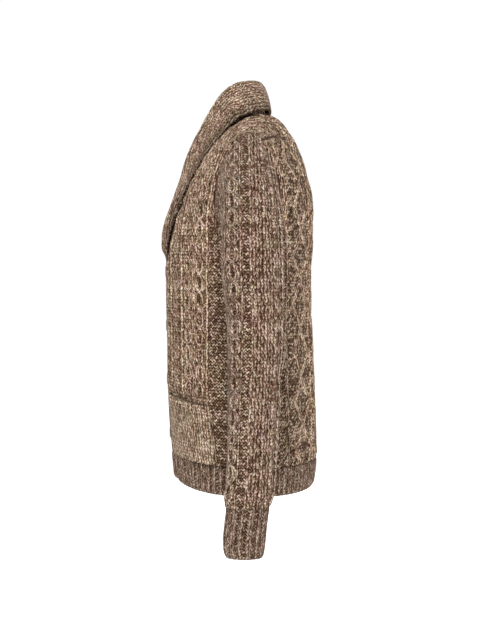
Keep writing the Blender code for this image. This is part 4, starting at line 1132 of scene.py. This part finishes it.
# %% Buttons
BUTTON_RADIUS, BUTTON_THICK = 0.0110, 0.0036
BUTTON_TOP_Z, BUTTON_STEP, BUTTON_COUNT = -0.262, 0.0925, 4
BUTTON_GAP = 0.0009
BUTTON_SEGMENTS = 48
BUTTON_PROFILE = (
    (0.0, 0.0), (0.80, 0.0), (0.92, 0.06), (0.985, 0.22), (1.0, 0.45), (0.985, 0.70), (0.93, 0.90),
    (0.84, 1.0), (0.75, 0.97), (0.67, 0.84), (0.58, 0.72), (0.40, 0.66), (0.22, 0.64), (0.0, 0.64),
)


def spun(name, profile, segments, radius, thick):
    """A turned shape about the Y axis, its face towards -Y."""
    shape = bmesh.new()
    rings = []
    for share, height in profile:
        count = 1 if share == 0 else segments
        turns = [2 * math.pi * k / segments for k in range(count)]
        reach, face = share * radius, -height * thick
        rings.append([shape.verts.new((reach * math.cos(t), face, reach * math.sin(t))) for t in turns])
    for low, high in zip(rings, rings[1:]):
        for k in range(segments):
            after = (k + 1) % segments
            corners = [low[k % len(low)], low[after % len(low)], high[after % len(high)], high[k % len(high)]]
            shape.faces.new(list(dict.fromkeys(corners)))
    bmesh.ops.recalc_face_normals(shape, faces=shape.faces)
    mesh = bpy.data.meshes.new(name)
    shape.to_mesh(mesh)
    shape.free()
    mesh.shade_smooth()
    return placed(name, mesh)


THREAD_HALF, THREAD_RISE, THREAD_RADIUS, THREAD_AT = 0.0021, 0.0011, 0.00042, 0.0021
THREAD_APART = 0.0017  # each bar's distance from the button's middle


def thread_bars(name, steps=10, sides=8):
    """Two bars of thread over the middle of a button, each an arc up out of its face and down again."""
    points, faces = [], []
    turns = np.linspace(0.0, 2 * math.pi, sides, endpoint=False)
    for side in (-1, 1):
        for k in range(steps + 1):
            way = math.pi * k / steps
            middle = np.array([-THREAD_HALF * math.cos(way), -THREAD_AT - THREAD_RISE * math.sin(way),
                               side * THREAD_APART])
            along = np.array([THREAD_HALF * math.sin(way), -THREAD_RISE * math.cos(way), 0.0])
            across = np.cross([0.0, 0.0, 1.0], along / np.linalg.norm(along))
            for turn in turns:
                off = across * math.cos(turn) + np.array([0, 0, math.sin(turn)])
                points.append(middle + THREAD_RADIUS * off)
    ring = np.arange(sides)
    for bar in range(2):
        for k in range(steps):
            low = (bar * (steps + 1) + k) * sides
            for i, after in zip(ring, np.roll(ring, -1)):
                faces.append((low + i, low + after, low + sides + after, low + sides + i))
        for end in (0, steps):
            cap = [(bar * (steps + 1) + end) * sides + int(i) for i in ring]
            faces.append(tuple(cap[::-1] if end == 0 else cap))
    mesh = bpy.data.meshes.new(name)
    mesh.from_pydata([tuple(map(float, p)) for p in points], [], [tuple(int(i) for i in f) for f in faces])
    mesh.shade_smooth()
    return placed(name, mesh)


thread_shape = thread_bars("thread_shape")
button_marks = []
for number in range(BUTTON_COUNT):
    z = BUTTON_TOP_Z - number * BUTTON_STEP
    button_marks.append((0.0, -float(torso(z, "front")) - RIB_HEIGHT * BAND_RIB - BUTTON_GAP, z))
button_shape = spun("button_shape", BUTTON_PROFILE, BUTTON_SEGMENTS, BUTTON_RADIUS, BUTTON_THICK)
print("button:", len(button_shape.data.polygons), "faces")


# %% [markdown]
# The finish. Each knitted stitch is a V of two legs, and on the reverse side a small bump, so the material
# draws both from the cloth coordinates and blends them by the plain attribute. Every leg gets its own share
# of the brown and the beige ply, and a fine noise twists the plies together. Light and shade are painted into
# the colour as well: stitch tops and raised strands are lightened, furrows are darkened as if light hardly
# reached into them, and the shade attribute paints shade where the collar and sleeves lie close. The same
# recipe serves all pieces, with a contrast for each and a colour factor that is partly the yarn's colour and
# partly painted shade.

# %% Wiring helpers
def wire(tree, socket, value):
    if isinstance(value, bpy.types.NodeSocket):
        tree.links.new(value, socket)
    else:
        socket.default_value = value


def calc(tree, operation, *values, clamp=False):
    node = tree.nodes.new("ShaderNodeMath")
    node.operation = operation
    node.use_clamp = clamp
    for socket, value in zip(node.inputs, values):
        wire(tree, socket, value)
    return node.outputs[0]


def blend_values(tree, share, first, second):
    node = tree.nodes.new("ShaderNodeMix")
    wire(tree, node.inputs["Factor"], share)
    wire(tree, node.inputs["A"], first)
    wire(tree, node.inputs["B"], second)
    return node.outputs["Result"]


def attribute(tree, name):
    node = tree.nodes.new("ShaderNodeAttribute")
    node.attribute_name = name
    return node.outputs["Fac"]


def joined(tree, x, y, z=0.0):
    node = tree.nodes.new("ShaderNodeCombineXYZ")
    for socket, value in zip(node.inputs, (x, y, z)):
        wire(tree, socket, value)
    return node.outputs[0]


def noise(tree, vector, scale, detail=2.0, roughness=0.6, given="Fac"):
    node = tree.nodes.new("ShaderNodeTexNoise")
    wire(tree, node.inputs["Vector"], vector)
    node.inputs["Scale"].default_value = scale
    node.inputs["Detail"].default_value = detail
    node.inputs["Roughness"].default_value = roughness
    return node.outputs[given]


def chance(tree, vector):
    node = tree.nodes.new("ShaderNodeTexWhiteNoise")
    node.noise_dimensions = "3D"
    wire(tree, node.inputs["Vector"], vector)
    return node.outputs["Value"]


def stretch(tree, value, low, high, to_low=0.0, to_high=1.0):
    node = tree.nodes.new("ShaderNodeMapRange")
    for socket, number in zip(node.inputs, (value, low, high, to_low, to_high)):
        wire(tree, socket, number)
    return node.outputs["Result"]


def vector_calc(tree, operation, *values):
    node = tree.nodes.new("ShaderNodeVectorMath")
    node.operation = operation
    for socket, value in zip(node.inputs, values):
        wire(tree, socket, value)
    return node.outputs[0]


def weighted(tree, total, *pairs):
    """The total with each value added, times its weight."""
    for value, weight in pairs:
        total = calc(tree, "ADD", total, calc(tree, "MULTIPLY", value, weight))
    return total


def new_material(name):
    """A material, its node tree and its shader."""
    material = bpy.data.materials.new(name)
    material.use_nodes = True
    return material, material.node_tree, material.node_tree.nodes["Principled BSDF"]


def bumped(tree, shader, height, distance, strength):
    node = tree.nodes.new("ShaderNodeBump")
    node.inputs["Distance"].default_value = distance
    node.inputs["Strength"].default_value = strength
    tree.links.new(height, node.inputs["Height"])
    tree.links.new(node.outputs[0], shader.inputs["Normal"])


def ramp(tree, share, stops):
    node = tree.nodes.new("ShaderNodeValToRGB")
    elements = node.color_ramp.elements
    while len(elements) < len(stops):
        elements.new(0.5)
    for element, (place, colour) in zip(elements, stops):
        element.position = place
        element.color = (*colour, 1.0)
    wire(tree, node.inputs["Fac"], share)
    return node.outputs["Color"]


# %% Stitches as heights and chances
STITCH_WIDE, STITCH_TALL, PURL_TALL = 0.0052, 0.0052, 0.0050
LEG_SLANT = 0.75
PLY_LUCK = 0.75  # how irregular the turns of the plies are


def hump(tree, share, power):
    """Rises from 0 to 1 and back as the share goes from 0 to 1."""
    wave = calc(tree, "SINE", calc(tree, "MULTIPLY", share, math.pi))
    return calc(tree, "POWER", calc(tree, "MAXIMUM", wave, 0.0), power)


def twisted_plies(tree, stitch, line, over_stitch, over_line):
    """0 on the brown ply and 1 on the beige one. Which ply lies on top of a stitch is a matter of chance."""
    luck = chance(tree, joined(tree, stitch, line, 3.0))
    turn = weighted(tree, 0.0, (stitch, 0.5), (line, 0.31), (luck, PLY_LUCK), (over_stitch, 0.24),
                    (over_line, 0.30))
    wave = calc(tree, "SINE", calc(tree, "MULTIPLY", turn, 2 * math.pi))
    return weighted(tree, 0.5, (wave, 0.5))


def knit_stitches(tree, u, v):
    """Height and ply of plain stitches: each is a V of two slanting legs."""
    columns = calc(tree, "DIVIDE", u, STITCH_WIDE)
    over_column = calc(tree, "FRACT", columns)
    off_middle = calc(tree, "ABSOLUTE", calc(tree, "SUBTRACT", over_column, 0.5))
    rows = weighted(tree, calc(tree, "DIVIDE", v, STITCH_TALL), (off_middle, -2 * LEG_SLANT))
    legs = calc(tree, "MULTIPLY", columns, 2.0)
    over_leg, over_row = calc(tree, "FRACT", legs), calc(tree, "FRACT", rows)
    round_leg = weighted(tree, 0.65, (hump(tree, over_leg, 0.5), 0.35))
    round_row = weighted(tree, 0.4, (hump(tree, over_row, 0.6), 0.6))
    height = calc(tree, "MULTIPLY", hump(tree, over_column, 0.5), round_leg)
    height = calc(tree, "MULTIPLY", height, round_row)
    leg, row = calc(tree, "FLOOR", legs), calc(tree, "FLOOR", rows)
    return height, twisted_plies(tree, leg, row, over_leg, over_row)


def purl_stitches(tree, u, v):
    """Height and ply of reverse stitches: rows of beads, each row half a bead on from the one below."""
    columns = calc(tree, "DIVIDE", u, STITCH_WIDE)
    wave = calc(tree, "SINE", calc(tree, "MULTIPLY", columns, 2 * math.pi))
    rows = weighted(tree, calc(tree, "DIVIDE", v, PURL_TALL), (wave, 0.22))
    line = calc(tree, "FLOOR", rows)
    beads = weighted(tree, columns, (line, 0.5))
    over_bead, over_row = calc(tree, "FRACT", beads), calc(tree, "FRACT", rows)
    round_bead = weighted(tree, 0.6, (hump(tree, over_bead, 0.6), 0.4))
    height = calc(tree, "MULTIPLY", hump(tree, over_row, 0.9), round_bead)
    return height, twisted_plies(tree, calc(tree, "FLOOR", beads), line, over_bead, over_row)


# %% Marled knit material
PLY_STOPS = (
    (0.00, (0.020, 0.009, 0.0045)),
    (0.26, (0.085, 0.044, 0.026)),
    (0.50, (0.232, 0.150, 0.101)),
    (0.74, (0.490, 0.376, 0.285)),
    (1.00, (0.870, 0.800, 0.705)),
)
HUE_STOPS = (
    (0.00, (0.94, 0.88, 0.95)),
    (0.28, (0.99, 0.88, 0.84)),
    (0.50, (0.96, 0.91, 0.87)),
    (0.74, (0.94, 0.93, 0.80)),
    (1.00, (0.90, 0.94, 0.95)),
)
STITCH_DEPTH = 0.0020
FURROW_SHADE = 0.84
MIDDLE_SHARE = 0.47  # of the beige ply where nothing else speaks
STRAY = 0.0048  # how far a stitch may stray from its place
STRAY_SCALE, TWIST_SCALE, PATCH_SCALE, HUE_SCALE, WOOL_SCALE = 150.0, 480.0, 45.0, 62.0, 1500.0


def cloth_map(tree, name):
    place = tree.nodes.new("ShaderNodeUVMap")
    place.uv_map = name
    return place.outputs["UV"]


def coordinates(tree, place):
    split = tree.nodes.new("ShaderNodeSeparateXYZ")
    tree.links.new(place, split.inputs[0])
    return split.outputs[0], split.outputs[1]


def unevenness(tree, cloth):
    """How far each stitch strays from its place, in metres over the cloth."""
    wander = noise(tree, cloth, STRAY_SCALE, detail=1.0, roughness=0.5, given="Color")
    return vector_calc(tree, "MULTIPLY_ADD", wander, (STRAY, STRAY, 0.0), (-STRAY / 2, -STRAY / 2, 0.0))


def marled_knit(name, tint_and_painted_shade, contrast):
    material, tree, shader = new_material(name)
    cloth = cloth_map(tree, "cloth")
    plain, raised = attribute(tree, "plain"), attribute(tree, "raised")
    uneven = unevenness(tree, cloth)
    strand = vector_calc(tree, "ADD", cloth_map(tree, "strand"), uneven)
    knit_height, knit_ply = knit_stitches(tree, *coordinates(tree, strand))
    purl_height, purl_ply = purl_stitches(tree, *coordinates(tree, vector_calc(tree, "ADD", cloth, uneven)))
    height = blend_values(tree, plain, purl_height, knit_height)
    ply = blend_values(tree, plain, purl_ply, knit_ply)
    twist = noise(tree, cloth, TWIST_SCALE, roughness=0.7)
    patch = noise(tree, cloth, PATCH_SCALE)
    # ply, twist and patch are the yarn's own colour; height and raised make stitch tops and raised strands
    # lighter and their hollows darker: painted highlight and painted shade.
    shares = (
        (ply, 0.5, 0.54 * contrast),
        (twist, 0.5, 1.30 * contrast),
        (height, 0.6, 0.85),
        (raised, 0.4, 0.20),
        (patch, 0.5, 0.55),
    )
    share = MIDDLE_SHARE
    for value, middle, weight in shares:
        share = weighted(tree, share, (calc(tree, "SUBTRACT", value, middle), weight))
    yarn = ramp(tree, calc(tree, "ADD", share, 0.0, clamp=True), PLY_STOPS)
    place = joined(tree, *coordinates(tree, cloth), 0.7)
    tone = noise(tree, place, HUE_SCALE, detail=3.0, roughness=0.55)
    hue = ramp(tree, stretch(tree, tone, 0.30, 0.70), HUE_STOPS)
    # Painted shade: low places are darkened, and the shade attribute darkens the cloth under and beside the
    # collar, beside the sleeves and in the cables' grooves. The yarn colour is then multiplied by this painted
    # shade, the random hue and the colour factor.
    painted_shade = stretch(tree, raised, 0.0, 0.7, FURROW_SHADE, 1.0)
    painted_shade = calc(tree, "MULTIPLY", painted_shade, calc(tree, "SUBTRACT", 1.0, attribute(tree, "shade")))
    yarn_with_painted_shade = yarn
    for factor in (painted_shade, hue, tint_and_painted_shade):
        yarn_with_painted_shade = vector_calc(tree, "MULTIPLY", yarn_with_painted_shade, factor)
    tree.links.new(yarn_with_painted_shade, shader.inputs["Base Color"])
    wool = noise(tree, cloth, WOOL_SCALE)
    bumped(tree, shader, weighted(tree, height, (wool, 0.25)), STITCH_DEPTH, 0.9)
    shader.inputs["Roughness"].default_value = 0.92
    shader.inputs["Specular IOR Level"].default_value = 0.08
    shader.inputs["Sheen Weight"].default_value = 0.08
    shader.inputs["Sheen Roughness"].default_value = 0.45
    shader.inputs["Sheen Tint"].default_value = (1.0, 0.80, 0.62, 1.0)
    return material


# The colour factor given to each material is partly the yarn's colour and partly painted shade: the back and
# the sleeves, which get less light, are made darker than the fronts.
body_knit = marled_knit("marled knit, fronts", (1.00, 0.97, 0.94), 0.90)
pocket_knit = marled_knit("marled knit, pockets", (0.88, 0.88, 0.86), 0.84)
back_knit = marled_knit("marled knit, back", (0.95, 0.88, 0.81), 1.36)
sleeve_knit = marled_knit("marled knit, sleeves", (0.82, 0.785, 0.79), 0.98)
collar_knit = marled_knit("marled knit, collar", (0.90, 0.87, 0.86), 0.75)
rib_knit = marled_knit("marled knit, ribs", (0.56, 0.53, 0.54), 0.75)
print("materials:", len(bpy.data.materials))


# %% Button finish
def horn():
    material, tree, shader = new_material("horn button")
    place = tree.nodes.new("ShaderNodeTexCoord").outputs["Object"]
    cloud = noise(tree, place, 140.0, detail=4.0, roughness=0.65)
    stops = ((0.30, (0.060, 0.045, 0.036)), (0.52, (0.150, 0.120, 0.098)), (0.72, (0.330, 0.285, 0.240)))
    tree.links.new(ramp(tree, cloud, stops), shader.inputs["Base Color"])
    bumped(tree, shader, noise(tree, place, 900.0), 0.0002, 0.4)
    shader.inputs["Roughness"].default_value = 0.38
    return material


def sewing_thread():
    material, _, shader = new_material("sewing thread")
    shader.inputs["Base Color"].default_value = (0.052, 0.036, 0.026, 1.0)
    shader.inputs["Roughness"].default_value = 0.7
    return material


horn_finish, thread_finish = horn(), sewing_thread()


# %% [markdown]
# Geometry Nodes repeat one small shape along a line of marks: here the buttons, and the thread that holds
# them. The tree instances the shape on the points, realises the copies and sets their material, and the
# result is turned into a plain mesh before it joins the garment.

# %% Copies on marks
def marks_object(name, points):
    mesh = bpy.data.meshes.new(name)
    mesh.from_pydata([tuple(map(float, p)) for p in points], [], [])
    return placed(name, mesh)


def copies_tree(name):
    tree = bpy.data.node_groups.new(name, "GeometryNodeTree")
    tree.interface.new_socket("Marks", in_out="INPUT", socket_type="NodeSocketGeometry")
    tree.interface.new_socket("Shape", in_out="INPUT", socket_type="NodeSocketObject")
    tree.interface.new_socket("Finish", in_out="INPUT", socket_type="NodeSocketMaterial")
    tree.interface.new_socket("Pieces", in_out="OUTPUT", socket_type="NodeSocketGeometry")
    given = tree.nodes.new("NodeGroupInput")
    made = tree.nodes.new("NodeGroupOutput")
    info = tree.nodes.new("GeometryNodeObjectInfo")
    place = tree.nodes.new("GeometryNodeInstanceOnPoints")
    real = tree.nodes.new("GeometryNodeRealizeInstances")
    finish = tree.nodes.new("GeometryNodeSetMaterial")
    link = tree.links.new
    link(given.outputs["Shape"], info.inputs["Object"])
    link(given.outputs["Marks"], place.inputs["Points"])
    link(info.outputs["Geometry"], place.inputs["Instance"])
    link(place.outputs["Instances"], real.inputs["Geometry"])
    link(real.outputs["Geometry"], finish.inputs["Geometry"])
    link(given.outputs["Finish"], finish.inputs["Material"])
    link(finish.outputs["Geometry"], made.inputs["Pieces"])
    return tree


def grown(name, carrier, tree, values):
    """The carrier's geometry after the tree, as a plain mesh object. The carrier is removed."""
    modifier = carrier.modifiers.new("grow", "NODES")
    modifier.node_group = tree
    for item in tree.interface.items_tree:
        if item.item_type == "SOCKET" and item.in_out == "INPUT" and item.name in values:
            modifier[item.identifier] = values[item.name]
    bpy.context.view_layer.update()
    seen = carrier.evaluated_get(bpy.context.evaluated_depsgraph_get())
    mesh = bpy.data.meshes.new_from_object(seen)
    mesh.name = name
    piece = placed(name, mesh)
    bpy.data.objects.remove(carrier)
    return piece


copies = copies_tree("copies on marks")
buttons = grown("buttons", marks_object("button marks", button_marks), copies,
                {"Shape": button_shape, "Finish": horn_finish})
threads = grown("button_threads", marks_object("thread marks", button_marks), copies,
                {"Shape": thread_shape, "Finish": thread_finish})
for shape in (button_shape, thread_shape):
    bpy.data.objects.remove(shape)
print("buttons:", len(buttons.data.polygons), "faces; threads:", len(threads.data.polygons), "faces")

# %% [markdown]
# Every piece now gets its finish and takes the place of its imported node. The knitted pieces already carry
# the size they would be cut or knitted to, from knitted_wall.

# %% Finishes and nodes
PIECES = [
    (back, "back_panel", back_knit, "knit_body", "hung", ("shawl_collar",)),
    (fronts[0], "front_panel_L", body_knit, "knit_body", "hung", ("back_panel",)),
    (fronts[1], "front_panel_R", body_knit, "knit_body", "hung", ("back_panel",)),
    (sleeves[0], "sleeve_L", sleeve_knit, "knit_body", "hung", ("front_panel_L", "back_panel")),
    (sleeves[1], "sleeve_R", sleeve_knit, "knit_body", "hung", ("front_panel_R", "back_panel")),
    (pockets[0], "pocket_L", pocket_knit, "knit_body", "stretched", ("front_panel_L",)),
    (pockets[1], "pocket_R", pocket_knit, "knit_body", "stretched", ("front_panel_R",)),
    (hems[0], "hem_rib_front_L", rib_knit, "knit_rib", "hung", ("front_panel_L",)),
    (hems[1], "hem_rib_front_R", rib_knit, "knit_rib", "hung", ("front_panel_R",)),
    (hems[2], "hem_rib_back", rib_knit, "knit_rib", "hung", ("back_panel",)),
    (cuffs[0], "cuff_L", rib_knit, "knit_rib", "hung", ("sleeve_L",)),
    (cuffs[1], "cuff_R", rib_knit, "knit_rib", "hung", ("sleeve_R",)),
    (bands[0], "front_band_L", rib_knit, "knit_rib", "hung", ("front_panel_L",)),
    (bands[1], "front_band_R", rib_knit, "knit_rib", "hung", ("front_panel_R",)),
    (collar, "shawl_collar", collar_knit, "knit_rib", "folded",
     ("front_panel_L", "front_panel_R", "back_panel")),
]
for piece, node, finish, slot, held, rests_on in PIECES:
    piece.data.materials.append(finish)
    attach(piece, "root")
    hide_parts(node)
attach(buttons, "root")
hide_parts("button_1", "button_2", "button_3", "button_4")
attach(threads, "root")

# %% [markdown]
# A plain studio: a pale floor, a white surround and broad soft lights, so that the knit is shaded by its own
# relief as well as by the shade painted into its colour. The camera stands level with the garment's middle,
# on its left side.

# %% Floor, light and camera
FLOOR_Z, FLOOR_HALF = -1.10, 12.0
SURROUND_LIGHT, SURROUND_SEEN = 0.36, 1.02  # how bright the surround is to the garment, and to the camera
FOCAL_LENGTH, SENSOR_WIDTH = 74.7, 36.0  # mm
CAMERA_PLACE = (2.306, 0.0, -0.346)


def pale_floor():
    material, _, shader = new_material("pale floor")
    shader.inputs["Base Color"].default_value = (0.90, 0.90, 0.90, 1.0)
    shader.inputs["Roughness"].default_value = 0.9
    shader.inputs["Emission Color"].default_value = (1.0, 1.0, 1.0, 1.0)
    shader.inputs["Emission Strength"].default_value = 0.90
    mesh = bpy.data.meshes.new("floor")
    corners = [(x * FLOOR_HALF, y * FLOOR_HALF, FLOOR_Z) for x, y in ((-1, -1), (1, -1), (1, 1), (-1, 1))]
    mesh.from_pydata(corners, [], [(0, 1, 2, 3)])
    mesh.materials.append(material)
    return placed("floor", mesh)


def soft_light(name, place, aim, size, power):
    lamp = bpy.data.lights.new(name, "AREA")
    lamp.size = size
    lamp.energy = power
    holder = placed(name, lamp)
    holder.location = place
    way = np.array(aim, float) - np.array(place, float)
    flat = math.hypot(way[0], way[1])
    holder.rotation_euler = (math.atan2(flat, -way[2]), 0.0, math.atan2(-way[0], way[1]))


def white_studio():
    """The surround: bright white to look at, and a softer light on the garment."""
    world = bpy.data.worlds.new("white studio")
    world.use_nodes = True
    tree = world.node_tree
    surround = tree.nodes["Background"]
    surround.inputs["Color"].default_value = (1.0, 1.0, 1.0, 1.0)
    seen = tree.nodes.new("ShaderNodeLightPath").outputs["Is Camera Ray"]
    strength = stretch(tree, seen, 0.0, 1.0, SURROUND_LIGHT, SURROUND_SEEN)
    tree.links.new(strength, surround.inputs["Strength"])
    return world


pale_floor()
middle = (0.0, 0.0, -0.33)
soft_light("key light", (2.3, 0.45, 2.0), middle, 0.7, 80.0)
soft_light("front light", (1.9, -2.1, 0.9), middle, 1.0, 30.0)
soft_light("far light", (-2.6, 0.4, 1.4), middle, 2.2, 60.0)
bpy.context.scene.world = white_studio()
bpy.context.scene.view_settings.view_transform = "Standard"

lens = bpy.data.cameras.new("camera")
lens.lens = FOCAL_LENGTH
lens.sensor_width = SENSOR_WIDTH
camera = placed("camera", lens)
camera.location = CAMERA_PLACE
camera.rotation_euler = (math.radians(90), 0.0, math.radians(90))
bpy.context.scene.camera = camera

# %% Update the scene
bpy.context.view_layer.update()
